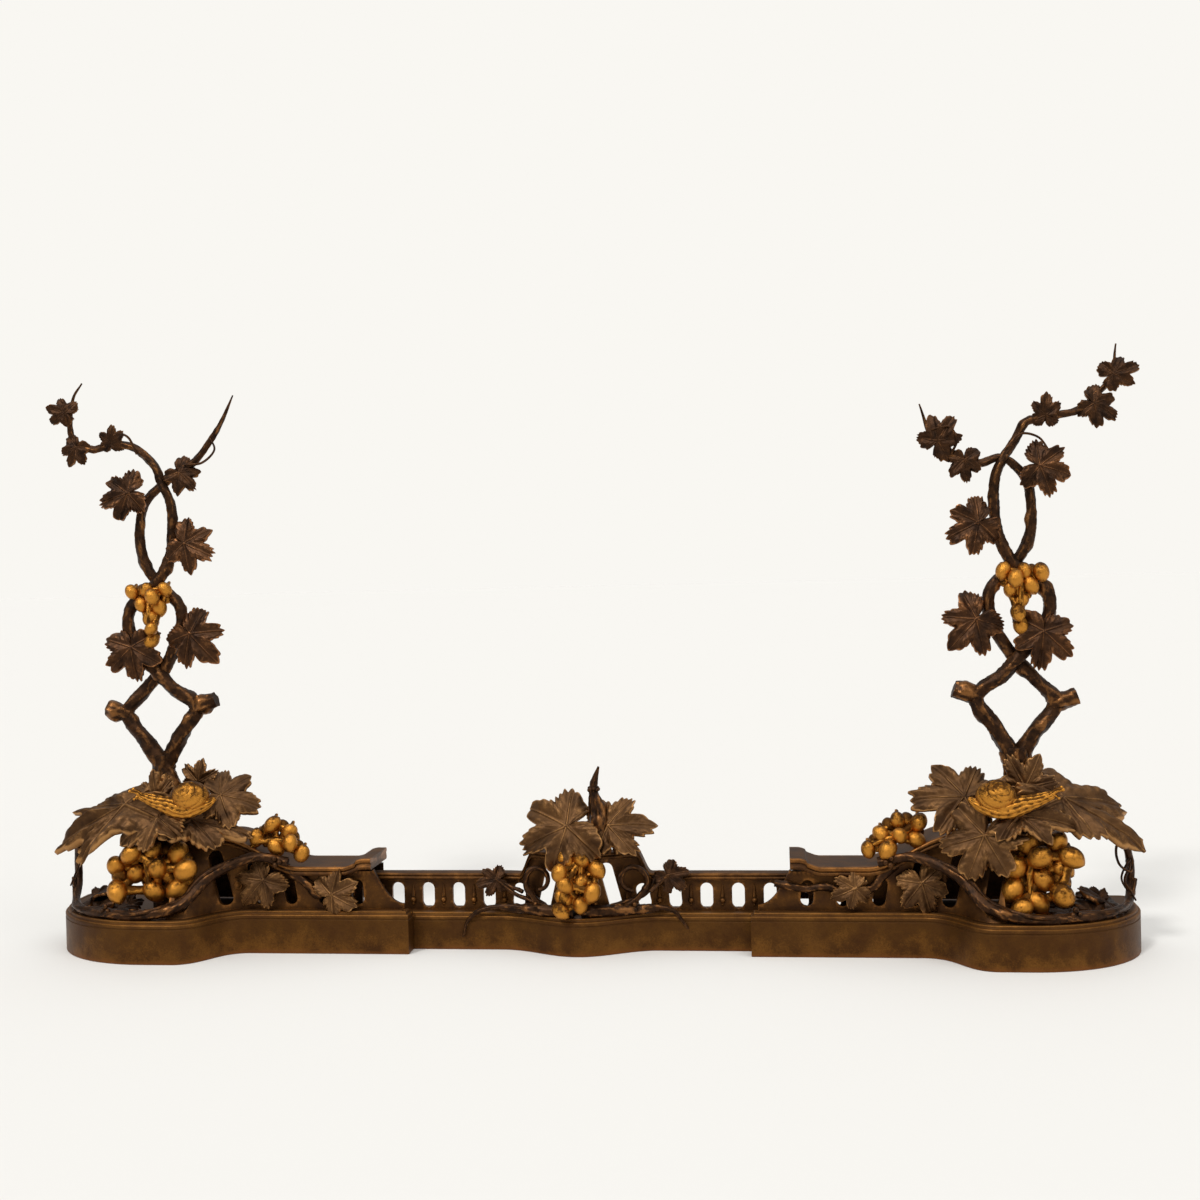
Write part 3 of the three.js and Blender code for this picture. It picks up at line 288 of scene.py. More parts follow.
@dataclass(frozen=True)
class Leaf:
    """A five-lobed vine leaf from its hub to its tip, upper side towards face."""

    hub: Points
    tip: Points
    face: Points = (0, -1, 0.15)
    breadth: float = 1.0
    droop: float = 0.12
    skew: float = 0.0
    root: Points | None = None
    stalk: float = 2.6
    seed: int = 0
    rows: int = 30
    columns: int = 216
    thickness: float = 2.4

    # Degrees from the tip and reach: three lobes on each side, and the notch at the stalk.
    LOBES = (
        (0, 1.0), (9, 0.97), (19, 0.82), (27, 0.62), (32, 0.66), (42, 0.87), (53, 0.94), (64, 0.86),
        (75, 0.68), (83, 0.56), (90, 0.64), (102, 0.78), (116, 0.82), (131, 0.72), (148, 0.6),
        (164, 0.48), (174, 0.28), (180, 0.1),
    )
    VEINS = (0.0, 53.0, -53.0, 114.0, -114.0)
    SIDE_VEIN_STEP = 0.17
    TOOTH_DEGREES = 11

    def moved(self, offset: Points, seed: int, **changes) -> "Leaf":
        """The same leaf carried to another place, with another pattern and other details."""
        shift = np.asarray(offset, float)
        root = None if self.root is None else shift + self.root
        return replace(self, hub=shift + self.hub, tip=shift + self.tip, root=root, seed=seed, **changes)

    def outline(self, rng: np.random.Generator, angle: np.ndarray) -> np.ndarray:
        """Reach of the blade at each angle from the tip, with rounded teeth of uneven size."""
        degrees, reach = np.array(self.LOBES, float).T
        smooth = np.interp(np.abs(np.degrees(angle)), degrees, reach)
        lean = 1 + 0.06 * np.sin(2 * angle + rng.uniform(0, TURN)) + self.skew * np.sin(angle)
        shift = rng.uniform(0, TURN)
        uneven = 0.7 * (np.sin(4 * angle + shift) - np.sin(shift))
        phase = 0.5 + np.degrees(angle) / self.TOOTH_DEGREES + uneven
        tooth = 1 - np.abs(2 * (phase % 1) - 1) ** 1.4
        size = rng.uniform(0.05, 0.15, 64)[np.floor(phase).astype(int) % 64]
        return smooth * lean * (0.91 + size * tooth)

    def skin(self) -> Skin:
        """The blade as one closed skin, with its stalk.

        The upper side is a polar grid round the hub: reach t * outline(angle). Its height is a
        droop that grows with the square of the reach, a wave along the edge, a fold that lifts the
        blade between the main veins, thin raised main veins, and side veins that leave them at a
        slant with the blade puckered between. The under side repeats the droop and the wave only.
        """
        rng = np.random.default_rng(1000 + self.seed)
        angle = np.linspace(-np.pi, np.pi, self.columns, endpoint=False)[None, :]
        share = np.linspace(0, 1, self.rows + 1)[1:, None] ** 0.85
        reach = share * self.outline(rng, angle)
        offsets = (angle[..., None] - np.radians(self.VEINS) + np.pi) % TURN - np.pi
        off = np.take_along_axis(offsets, np.abs(offsets).argmin(-1)[..., None], -1)[..., 0]
        onward = reach * np.cos(off)
        across = np.abs(reach * np.sin(off))
        fold = 1 - np.exp(-((across / 0.11) ** 2))
        main = np.exp(-((across / (0.011 + 0.014 * (1 - share))) ** 2))
        phase = (onward - 0.75 * across) / self.SIDE_VEIN_STEP + rng.uniform(0, 1)
        off_side = phase - np.round(phase)
        clear = smoothstep(across, 0.01, 0.06)
        side = np.exp(-((off_side * self.SIDE_VEIN_STEP / 0.01) ** 2))
        side = side * clear * smoothstep(onward, 0.05, 0.2)
        quilt = np.sqrt(np.abs(np.sin(np.pi * off_side))) * clear * fold
        lobes = rng.uniform(0, TURN, 4)
        wave = 0.06 * np.sin(3 * angle + lobes[0]) + 0.05 * np.sin(7 * angle + lobes[1])
        ripple = np.sin(9 * angle + 7 * share + lobes[2]) * np.sin(5 * angle - 11 * share + lobes[3])
        smooth = -self.droop * reach**2 + wave * share**2 - 0.07 * share**6
        relief = 0.06 * fold * share**0.5 + 0.024 * main + 0.01 * side + 0.028 * quilt
        relief = relief + 0.012 * ripple * share - 0.045 * share**0.5
        # Wear: rubbed metal on the veins, the rim and the quilted bulges, which also paints highlights there.
        wear_and_sheen = 0.15 + 0.5 * main + 0.3 * side + 0.6 * smoothstep(share, 0.94, 1) + 0.4 * quilt

        ahead = np.subtract(self.tip, self.hub).astype(float)
        length = np.linalg.norm(ahead)
        below = np.array([self.rows - 1, self.rows // 2, self.rows // 5, 0])
        under = smooth - self.thickness / length + 0.4 * relief * (share < 0.97)
        heights = np.concatenate([smooth + relief, under[below]])[..., None]
        reaches = np.concatenate([reach, reach[below]])
        # The under side gets half the wear, so less rubbed metal and less painted highlight.
        worn = np.concatenate([wear_and_sheen, 0.5 * wear_and_sheen[below]])
        ahead = unit(ahead)
        up = np.asarray(self.face, float)
        up = unit(up - (up @ ahead) * ahead)
        forwards = (reaches * np.cos(angle))[..., None] * ahead
        aside = (self.breadth * reaches * np.sin(angle))[..., None] * np.cross(up, ahead)
        blade = grid_skin(np.asarray(self.hub, float) + length * (forwards + aside + heights * up), worn)
        if self.root is None:
            return blade
        start = np.asarray(self.hub, float) - 0.4 * self.thickness * up
        bend = (start + self.root) / 2 - (self.thickness + 1) * up
        radii = [0.7 * self.stalk, self.stalk, 1.2 * self.stalk]
        stalk = tube([start + 3 * ahead, start, bend, self.root], radii, TWIG, 10, 2, self.seed)
        return Skin.joined([blade, stalk])


# ------------------------------------------------------------------ grapes


@dataclass(frozen=True)
class Bunch:
    """A bunch of grapes: (across, up) places from an origin, in two layers."""

    origin: Points
    places: tuple
    radius: float
    slope: float = 0.0
    stalk: Points = ()
    seed: int = 0
    length_share: float = 1.24

    def centres(self) -> np.ndarray:
        """Middles of the grapes: those with no room in the back layer lie in front of it."""
        top = max(up for _, up in self.places)
        behind: list[tuple] = []
        middles = []
        for across, up in self.places:
            crowded = any(np.hypot(across - x, up - z) < 1.9 * self.radius for x, z in behind)
            if not crowded:
                behind.append((across, up))
            middles.append([across, -self.slope * (top - up) - 1.2 * self.radius * crowded, up])
        return np.asarray(middles) + self.origin

    def neighbours(self, centres: np.ndarray, least: float, most: float) -> np.ndarray:
        """Pairs of grapes whose middles lie between two numbers of radii apart."""
        apart = np.linalg.norm(centres[:, None] - centres[None], axis=-1)
        return np.argwhere(np.triu((apart > least * self.radius) & (apart < most * self.radius), 1))

    def fillers(self, centres: np.ndarray) -> np.ndarray:
        """Grapes seen between and behind the others: halfway between near neighbours, set back."""
        pairs = self.neighbours(centres, 1.2, 3.0)
        kept: list[np.ndarray] = []
        for middle in centres[pairs].mean(1) + [0, 0.85 * self.radius, 0]:
            if all(np.linalg.norm(middle - other) > 1.2 * self.radius for other in kept):
                kept.append(middle)
        return np.array(kept).reshape(-1, 3)

    def webs(self, centres: np.ndarray) -> list[Skin]:
        """The casting ground between the grapes: a short rod behind each pair of neighbours."""
        thick = 0.55 * self.radius
        rods = []
        for pair in self.neighbours(centres, 0, 3.5):
            a, b = centres[pair] + [0, 0.5 * self.radius, 0]
            rods.append(tube([a, (a + b) / 2, b], [thick, 0.75 * thick, thick], SMOOTH, 12, 3))
        return rods

    def skin(self) -> Skin:
        """The grapes as egg-shaped skins, each turned and sized a little differently.

        A grape's point is (sin p cos a, sin p sin a, length share * cos p) times its radius, with
        p from pole to pole and a round it, drawn out a little at the free end.
        """
        rng = np.random.default_rng(50 + self.seed)
        front = self.centres()
        middles = np.concatenate([front, self.fillers(front)])
        count = len(middles)
        polar = np.linspace(0.1, np.pi - 0.1, 15)[None, :, None]
        angle = around(22)
        shape = 1 + 0.02 * np.cos(2 * angle + rng.uniform(0, TURN, (count, 1, 1)))
        shape = shape + 0.08 * np.exp(-(((polar - np.pi) / 0.3) ** 2))
        aside = shape * np.sin(polar)
        onward = self.length_share * shape * np.cos(polar)
        local = spread(aside * np.cos(angle), aside * np.sin(angle), onward)
        tilt = rng.normal(0, 1, (count, 2)) * [0.8, 0.4]
        axis = unit(np.column_stack([tilt, np.ones(count)]))
        side = unit(np.cross(axis, [0.0, 1.0, 0.0]))
        turn = np.stack([side, np.cross(axis, side), axis], 1)
        size = self.radius * rng.uniform(0.84, 1.0, count)
        behind = np.arange(count) >= len(front)
        size[behind] *= 0.82
        turned = np.einsum("nrci,nij->nrcj", local, turn)
        points = middles[:, None, None] + size[:, None, None, None] * turned
        # Grapes set behind get little gold, as painted shade between the front grapes; the front ones vary at
        # random as worn gilding.
        gilt = np.where(behind, 0.3, rng.uniform(0.5, 0.95, count))
        skins = [grid_skin(grape, value) for grape, value in zip(points, gilt)]
        stem = self.radius * np.array([[0, 0.6, 0.4], [0, 1.5, 0.9]])
        skins += [tube(middle + stem, [2.2, 2], TWIG, 8, 3) for middle in front]
        if len(self.stalk):
            skins.append(tube(self.stalk, [3.4, 2.6], TWIG, 12, 2.5, self.seed))
        return Skin.joined(skins + self.webs(front))


# ------------------------------------------------------------------ snails


@dataclass(frozen=True)
class Snail:
    """A snail from life, head outwards: a round shell on a wrinkled foot with horns."""

    middle: Points
    half_sizes: tuple = (20.5, 16.5, 17)
    whorl: float = 1.75
    groove_depth: float = 0.04
    tilt: tuple = (("Z", 16), ("X", -38))

    # The foot's middle line from tail to head, its half heights, and the horns: reach, across,
    # lift and thickness.
    FOOT = ((-27, 4, -3), (-18, 2, -8), (-4, 0, -11), (14, -1, -12), (31, -1, -8), (46, 0, -3), (58, 0, 1))
    HALF_HEIGHTS = (2, 8, 11.5, 11, 8.5, 6.5, 4.2)
    HORNS = ((9, -6, 6, 1.6), (9, 3, 7, 1.6), (5, -5, -3, 1.2), (5, 2, -3, 1.2))

    def shell(self) -> Skin:
        """A round shell: an egg form with a groove that winds out from its tip.

        Point (p, a) lies p from the tip and a round it. The groove follows p = whorl to the power
        of a in turns, so that each whorl is wider than the one inside it. Growth lines cross it.
        """
        polar = np.linspace(0.03, np.pi - 0.05, 90)[:, None]
        angle = around(140)[None, :]
        phase = np.log(polar) / np.log(self.whorl) - angle / TURN
        off = phase - np.round(phase)
        ends = smoothstep(polar, 0.12, 0.4) * (1 - smoothstep(polar, 1.7, 2.3))
        groove = np.exp(-((off / 0.1) ** 2)) * ends
        lines = np.sin(46 * angle + 5 * polar) * np.sin(polar)
        reach = 1 - self.groove_depth * groove + 0.008 * lines
        aside = reach * np.sin(polar)
        points = spread(aside * np.cos(angle), -reach * np.cos(polar), aside * np.sin(angle))
        first, second = (Matrix.Rotation(np.radians(degrees), 3, axis) for axis, degrees in self.tilt)
        points = points @ np.array(first @ second).T * self.half_sizes
        # Painted shade: the winding groove gets less gold, and the crests of the growth lines more, as painted
        # highlights.
        return grid_skin(points + self.middle, 0.62 - 0.16 * groove + 0.12 * lines)

    def foot(self) -> Skin:
        """The foot: an oval section carried from tail to head, with wrinkles and a keel below.

        Point (i, a) is the middle line's point plus half height * cos a upwards and half width *
        sin a sideways, both times 1 plus lengthwise wrinkles and cross folds.
        """
        curve, along = smooth_route(np.asarray(self.middle, float) + self.FOOT, 0.9)
        tangent = unit(np.gradient(curve, axis=0))
        side = unit(np.cross(tangent, [0.0, 0.0, 1.0]))
        up = np.cross(side, tangent)
        angle = around(64)[None, :]
        height = np.interp(along / along[-1], np.linspace(0, 1, 7), self.HALF_HEIGHTS)[:, None]
        wrinkles = np.sin(11 * angle + 1.8 * np.sin(along[:, None] / 7))
        folds = np.sin(along[:, None] / 1.3 + 2 * np.sin(2 * angle))
        relief = 1 + 0.07 * wrinkles + 0.03 * folds
        keel = 1 + 0.3 * np.exp(-(((angle - np.pi) / 0.8) ** 2))
        upwards = (relief * height * np.cos(angle))[..., None] * up[:, None]
        aside = (relief * keel * 0.95 * height * np.sin(angle))[..., None] * side[:, None]
        # Painted highlight and shade: wrinkle and fold crests get more gold, their hollows more brown.
        return grid_skin(curve[:, None] + upwards + aside, 0.6 + 0.25 * wrinkles + 0.12 * folds)

    def skin(self) -> Skin:
        """Shell, foot and horns."""
        skins = [self.shell(), self.foot()]
        head = np.asarray(self.middle, float) + self.FOOT[-1]
        for reach, across, lift, thick in self.HORNS:
            root = head + [-2, across * 0.4, 0]
            end = head + [reach, across, lift]
            bend = (root + end) / 2 + [0, 0, 1.5]
            skins.append(tube([root, bend, end], [thick * 1.5, thick * 1.1, thick], SMOOTH, 10, 1.5))
            skins.append(ball(end, thick * 1.3, 12, 0.9))
        return Skin.joined(skins)


# ------------------------------------------------------------------ plates and plinths


def inside(points: np.ndarray, loop: np.ndarray) -> np.ndarray:
    """Whether each point lies in a closed loop, by counting the edges that a ray crosses."""
    x, z = points[:, :1], points[:, 1:]
    a, b = loop[None], np.roll(loop, -1, 0)[None]
    spans = (a[..., 1] > z) != (b[..., 1] > z)
    rise = np.where(np.abs(b[..., 1] - a[..., 1]) < 1e-12, 1e-12, b[..., 1] - a[..., 1])
    crossing = a[..., 0] + (z - a[..., 1]) / rise * (b[..., 0] - a[..., 0])
    return (spans & (x < crossing)).sum(1) % 2 == 1


def ring_edges(start: int, count: int) -> list[tuple[int, int]]:
    """The edges of a closed loop of points, as pairs of their numbers."""
    return [(start + i, start + (i + 1) % count) for i in range(count)]


def cut_flat(points: np.ndarray, edges: list, tolerance: float) -> tuple[np.ndarray, np.ndarray, list]:
    """Cut a plane into triangles along edges: its points, triangles and each point's sources."""
    found = delaunay_2d_cdt([Vector(point) for point in points], edges, [], 0, tolerance, True)
    triangles = np.array([face for face in found[2] if len(face) == 3], int)
    return np.array([tuple(point) for point in found[0]]), triangles, found[3]


def strip(x: np.ndarray, low: float, top: np.ndarray) -> np.ndarray:
    """The outline of a wall from a level foot up to a top line, as (x, z) points."""
    return np.concatenate([np.column_stack([x, np.full_like(x, low)]), np.column_stack([x, top])[::-1]])


def pierced_plate(outline: Points, holes: list, bend, thickness: float, mesh_size: float = 5.0) -> Skin:
    """A plate with openings, cut flat and then bent.

    Args:
        outline: (x, z) points round the plate, in order.
        holes: Lists of (x, z) points round each opening.
        bend: Function from arrays of x and z to the front's y.
        thickness: Thickness of the metal, backwards.
        mesh_size: Distance between the points inside the plate.

    Returns:
        Front, back and all edges as one closed skin.
    """
    loops = [np.asarray(loop, float) for loop in [outline, *holes]]
    edges = []
    for loop in loops:
        edges += ring_edges(len(edges), len(loop))
    low, high = loops[0].min(0), loops[0].max(0)
    grid = np.meshgrid(*[np.arange(low[i] + mesh_size / 2, high[i], mesh_size) for i in (0, 1)])
    points = np.concatenate([*loops, np.stack(grid, -1).reshape(-1, 2)])
    flat, faces, _ = cut_flat(points, edges, 1e-4)
    middle = flat[faces].mean(1)
    keep = inside(middle, loops[0])
    for hole in loops[1:]:
        keep &= ~inside(middle, hole)
    used, faces = np.unique(faces[keep], return_inverse=True)
    faces = faces.reshape(-1, 3)
    x, z = flat[used].T
    count = len(x)
    front = np.column_stack([x, bend(x, z), z])
    directed = faces[:, [[0, 1], [1, 2], [2, 0]]].reshape(-1, 2)
    _, index, counts = np.unique(np.sort(directed, 1), axis=0, return_index=True, return_counts=True)
    border = directed[index[counts == 1]]
    sides = np.concatenate([border[:, ::-1], border + count], 1)
    # Edges of the plate and its openings are rubbed, and painted with highlights.
    wear_and_sheen = np.full(2 * count, 0.35)
    wear_and_sheen[np.unique(border)] = 0.7
    triangles = np.concatenate([faces, faces[:, ::-1] + count])
    return Skin(np.concatenate([front, front + [0, thickness, 0]]), sides, triangles, wear_and_sheen)


def slot(x: float, low: float, high: float, width: float, lean: float) -> np.ndarray:
    """A round-ended opening as (x, z) points: two half circles, turned by lean about its middle."""
    radius = width / 2
    angle = np.linspace(0, np.pi, 11)
    top = np.column_stack([radius * np.cos(angle), (high - low) / 2 - radius + radius * np.sin(angle)])
    turn = np.array([[np.cos(lean), -np.sin(lean)], [np.sin(lean), np.cos(lean)]])
    return np.concatenate([top, -top]) @ turn + [x, (low + high) / 2]


def nosing(count: int, inset: float, height: float, deep: float, high: float) -> np.ndarray:
    """A half round of a moulding, from below to above, as (inset, height) points."""
    angle = np.radians(np.linspace(-90, 90, count))
    return np.column_stack([inset - deep * np.cos(angle), height + high * np.sin(angle)])


def carried_profile(loop: np.ndarray, profile: np.ndarray, wear_and_sheen: np.ndarray) -> Skin:
    """A moulding carried round a closed plan, with flat lids on its first and last ring.

    Each point of the plan moves inwards by the profile's inset, along the bisector of its two
    edges, and up to the profile's height.

    Args:
        loop: (x, y) points round the plan, anticlockwise.
        profile: (inset, height) points from the inside of the foot, over the top, to the middle.
        wear_and_sheen: Wear at each profile point.

    Returns:
        The skin; its lids are triangles made by cutting the plan.
    """
    arriving = unit(loop - np.roll(loop, 1, 0))
    leaving = unit(np.roll(loop, -1, 0) - loop)
    inwards = leaving[:, ::-1] * [-1, 1]
    middle = unit(arriving[:, ::-1] * [-1, 1] + inwards)
    reach = 1 / np.maximum(0.5, (middle * inwards).sum(-1, keepdims=True))
    rings = [
        np.column_stack([loop + inset * reach * middle, np.full(len(loop), z)]) for inset, z in profile
    ]
    walls = grid_skin(np.stack(rings), wear_and_sheen[:, None], capped=False)
    lids = []
    for ring in (0, len(profile) - 1):
        flat = rings[ring][:, :2]
        points, faces, sources = cut_flat(flat, ring_edges(0, len(flat)), 1e-5)
        faces = faces[inside(points[faces].mean(1), flat)]
        lids.append(np.array([numbers[0] for numbers in sources])[faces] + ring * len(loop))
    walls.triangles = np.concatenate(lids)
    return walls


# A plinth's moulding as inset, height and wear, the wear also painting highlights on the bead and the top
# edge: its lid and foot inside, and then from below the groove over the bead to the set-back step, with
# heights from the plinth's top.
PLINTH_FOOT = ((4, 1.0, 0.1), (3.2, 0.0, 0.4), (0.8, 0.0, 0.6), (0.0, 0.9, 0.6))
PLINTH_TOP = (
    (4, -8, 0.1), (0.0, -9.4, 0.3), (0.7, -8.8, 0.2), (0.7, -8.0, 0.2), (0.0, -7.4, 0.4), (0.0, -4.6, 0.5),
    (0.5, -3.7, 0.8), (1.6, -3.2, 0.8), (2.7, -3.0, 0.4), (3.0, -2.4, 0.3), (3.1, -0.8, 0.7), (3.9, 0, 0.8),
    (7.0, 0, 0.4), (7.6, -0.7, 0.2), (8.4, -0.7, 0.2), (9.0, 0, 0.3),
)


def plinth_skin(loop: np.ndarray, height: float) -> Skin:
    """A plinth: its moulding carried round its plan, open underneath."""
    top = np.array(PLINTH_TOP) + [0, height, 0]
    profile = np.concatenate([top[:1], PLINTH_FOOT, top[1:]])
    return carried_profile(loop, profile[:, :2], profile[:, 2])


def closed_patch(points: np.ndarray, wear_and_sheen: np.ndarray) -> Skin:
    """A patch given as its top rows and then its under rows: joined round all four sides."""
    rows, columns = points.shape[:2]
    skin = grid_skin(points, wear_and_sheen, closed=False, capped=False)
    index = np.arange(rows * columns).reshape(rows, columns)
    half = rows // 2
    seams = [np.stack([index[-1, :-1], index[-1, 1:], index[0, 1:], index[0, :-1]], -1)]
    for column in (0, -1):
        top, under = index[:half, column], index[half:, column][::-1]
        seams.append(np.stack([top[:-1], top[1:], under[1:], under[:-1]], -1))
    skin.quads = np.concatenate([skin.quads, *seams])
    return skin


def soften(piece: bpy.types.Object, width: float) -> None:
    """Round a plate's edges by a small bevel, in millimetres."""
    bevel = piece.modifiers.new("worn edges", "BEVEL")
    bevel.width = width * MM
    bevel.segments = 2
    bevel.limit_method = "ANGLE"
    bevel.angle_limit = np.radians(50)


# ------------------------------------------------------------------ finishes


def linear(colour: str) -> tuple[float, float, float, float]:
    """An sRGB hex colour as linear red, green, blue and an alpha of 1."""
    parts = [int(colour[i : i + 2], 16) / 255 for i in (1, 3, 5)]
    return (*[p / 12.92 if p <= 0.04045 else ((p + 0.055) / 1.055) ** 2.4 for p in parts], 1.0)


def empty_tree(owner: bpy.types.ID) -> bpy.types.NodeTree:
    """The node tree of a material or world, cleared."""
    owner.use_nodes = True
    owner.node_tree.nodes.clear()
    return owner.node_tree


def add_node(tree: bpy.types.NodeTree, kind: str, inputs: dict | None = None, **settings) -> bpy.types.Node:
    """Add a shader node.

    Args:
        tree: The material's node tree.
        kind: The node's type, without the words all types start with.
        inputs: Values or output sockets for its inputs, by name or number.
        settings: Properties of the node.

    Returns:
        The node.
    """
    node = tree.nodes.new("ShaderNode" + kind)
    for name, value in settings.items():
        setattr(node, name, value)
    for name, value in (inputs or {}).items():
        if isinstance(value, Socket):
            tree.links.new(value, node.inputs[name])
        else:
            node.inputs[name].default_value = value
    return node


class Shades:
    """One material's nodes: short ways to add them, and the values that every finish uses."""

    def __init__(self, name: str, cloud_mm: float, grain: tuple) -> None:
        """Start a material.

        Args:
            name: The material's name.
            cloud_mm: Size of its clouds.
            grain: Size in millimetres, detail and roughness of its fine grain.
        """
        self.made = bpy.data.materials.new(name)
        self.tree = empty_tree(self.made)
        self.place = add_node(self.tree, "TexCoord").outputs["Object"]
        self.wear_and_sheen = add_node(self.tree, "Attribute", attribute_name="wear_and_sheen").outputs["Fac"]
        normal = add_node(self.tree, "NewGeometry").outputs["Normal"]
        self.up = self.height(normal)
        self.cloud = self.noise(cloud_mm, 6.0, 0.62)
        self.grain = self.noise(*grain)

    def height(self, vector: Socket) -> Socket:
        """The z of a vector."""
        return add_node(self.tree, "SeparateXYZ", {0: vector}).outputs["Z"]

    def noise(self, size_mm: float, detail: float, roughness: float) -> Socket:
        """Noise in the object's own place, with patches of a size."""
        scale = 1 / (size_mm * MM)
        inputs = {"Vector": self.place, "Scale": scale, "Detail": detail, "Roughness": roughness}
        return add_node(self.tree, "TexNoise", inputs).outputs[0]

    def ramp(self, value: Socket, start: float, end: float, low: float = 0.0, high: float = 1.0) -> Socket:
        """Low up to the start, high from the end on, and straight between."""
        return add_node(self.tree, "MapRange", {0: value, 1: start, 2: end, 3: low, 4: high}).outputs[0]

    def times(self, one: Socket, other: Socket) -> Socket:
        """One value times another."""
        return add_node(self.tree, "Math", {0: one, 1: other}, operation="MULTIPLY").outputs[0]

    def times_plus(self, value: Socket, factor: float, more: Socket) -> Socket:
        """A value times a factor, plus more."""
        inputs = {0: value, 1: factor, 2: more}
        return add_node(self.tree, "Math", inputs, operation="MULTIPLY_ADD").outputs[0]

    def mix(self, share: Socket, one: Socket | str, other: str) -> Socket:
        """A colour between two, by share."""
        first = linear(one) if isinstance(one, str) else one
        return add_node(self.tree, "Mix", {0: share, 6: first, 7: linear(other)}, data_type="RGBA").outputs[2]

    def bump(self, strength: float, depth_mm: float, height: Socket, **more: Socket) -> Socket:
        """A normal roughened by a height."""
        inputs = {"Strength": strength, "Distance": depth_mm * MM, "Height": height, **more}
        return add_node(self.tree, "Bump", inputs).outputs[0]

    def finished(
        self, colour: Socket, metal: Socket | float, rough: Socket, normal: Socket
    ) -> bpy.types.Material:
        """The material, with its surface joined up."""
        inputs = {"Base Color": colour, "Metallic": metal, "Roughness": rough, "Normal": normal}
        surface = add_node(self.tree, "BsdfPrincipled", inputs).outputs[0]
        add_node(self.tree, "OutputMaterial", {"Surface": surface})
        return self.made


@dataclass(frozen=True)
class BronzePatina:
    """Cast bronze with a chemical patina, rubbed through on high places and dusty on top.

    The casting leaves a fine grain. The rubbed places are the skin's wear, broken up by clouds; their bright
    metal colour is partly rubbed bronze and partly a painted highlight on raised places and edges.
    """

    name: str
    shade: str
    body: str
    rubbed_and_sheen: str
    dust: str = "#5e4627"
    dusty: float = 0.2
    roughness: float = 0.5
    rubbed_roughness: float = 0.34
    cloud_mm: float = 22
    grain: tuple = (1.6, 4.0, 0.6)
    grain_depth_mm: float = 0.25
    cloud_depth_mm: float = 1.2
    rub_sheen_from: float = 1.15
    rub_sheen_to: float = 1.65
    metallic: float = 0.85
    dusty_metallic: float = 0.6

    def dust_mask(self, shades: Shades) -> Socket:
        """Dust lies where the surface looks up and isn't rubbed."""
        facing = shades.ramp(shades.up, -0.1, 0.9, 0.0, self.dusty)
        sheltered = shades.ramp(shades.wear_and_sheen, 0.2, 1.1, 1.0, 0.3)
        return shades.times(shades.times(facing, sheltered), shades.ramp(shades.cloud, 0.3, 0.6, 0.55, 1.0))

    def colour(self, shades: Shades, mask: Socket, dust: Socket) -> Socket:
        """Dark patina to body colour by clouds, then the rubbed metal with its painted highlights, then dust
        from above.
        """
        base = shades.mix(shades.ramp(shades.cloud, 0.35, 0.62), self.shade, self.body)
        return shades.mix(dust, shades.mix(mask, base, self.rubbed_and_sheen), self.dust)

    def material(self) -> bpy.types.Material:
        """Build the finish: high wear, made uneven by clouds and grain, rubs the patina through and paints
        highlights there.
        """
        shades = Shades(self.name, self.cloud_mm, self.grain)
        uneven = shades.times_plus(shades.grain, 0.5, shades.times_plus(shades.cloud, 0.9, shades.wear_and_sheen))
        mask = shades.ramp(uneven, self.rub_sheen_from, self.rub_sheen_to)
        dust = self.dust_mask(shades)
        rough = shades.ramp(mask, 0.0, 1.0, self.roughness, self.rubbed_roughness)
        fine = shades.bump(0.6, self.grain_depth_mm, shades.grain)
        return shades.finished(
            self.colour(shades, mask, dust),
            shades.ramp(dust, 0.0, 1.0, self.metallic, self.dusty_metallic),
            shades.times_plus(dust, 0.35, rough),
            shades.bump(0.5, self.cloud_depth_mm, shades.cloud, Normal=fine),
        )


@dataclass(frozen=True)
class WornGilding(BronzePatina):
    """Fire gilding worn down to the bronze: bright pitted gold with brown patches, and gold on raised places
    as painted highlight with brown in low places as painted shade.
    """

    grain: tuple = (3.2, 5.0, 0.7)
    pit_depth_mm: float = 1.0
    rub_sheen_from: float = 1.55
    rub_sheen_to: float = 1.9
    metallic: float = 0.95

    def material(self) -> bpy.types.Material:
        """Build the finish: the mask keeps the gold where clouds and each piece's wear allow, so raised places
        get painted highlights of gold and low places painted shade of brown.
        """
        shades = Shades(self.name, self.cloud_mm, self.grain)
        down = shades.times_plus(shades.up, -0.42, shades.wear_and_sheen)
        pitted = shades.times_plus(shades.grain, 0.9, shades.times_plus(shades.cloud, 1.7, down))
        mask = shades.ramp(pitted, self.rub_sheen_from, self.rub_sheen_to)
        colour = shades.mix(mask, shades.mix(shades.cloud, self.shade, self.body), self.rubbed_and_sheen)
        rough = shades.ramp(mask, 0.0, 1.0, self.roughness, self.rubbed_roughness)
        pits = shades.bump(0.9, self.pit_depth_mm, shades.grain)
        return shades.finished(colour, self.metallic, rough, pits)


@dataclass(frozen=True)
class RustedBronze(BronzePatina):
    """Old bronze plinth: brown patina with ochre clouds, and orange rust along the bottom edge."""

    ochre: str = "#65421a"
    rust: str = "#764720"
    speckle: str = "#2a1708"
    rust_height_mm: float = 7

    def colour(self, shades: Shades, mask: Socket, dust: Socket) -> Socket:
        """Patina with large ochre clouds, fine speckle, and rust low down."""
        patch = shades.ramp(shades.noise(75, 8.0, 0.68), 0.5, 0.68, 0.0, 0.75)
        spotted = shades.times(patch, shades.ramp(shades.grain, 0.4, 0.62, 0.35, 1.0))
        dark = shades.ramp(shades.noise(1.1, 3.0, 0.7), 0.56, 0.68, 0.0, 0.5)
        speckled = shades.mix(dark, super().colour(shades, mask, dust), self.speckle)
        top = self.rust_height_mm * MM
        uneven = shades.times_plus(shades.cloud, -1.3 * top, shades.height(shades.place))
        low = shades.ramp(uneven, 0.15 * top, -0.6 * top, 0.0, 0.9)
        return shades.mix(low, shades.mix(spotted, speckled, self.ochre), self.rust)


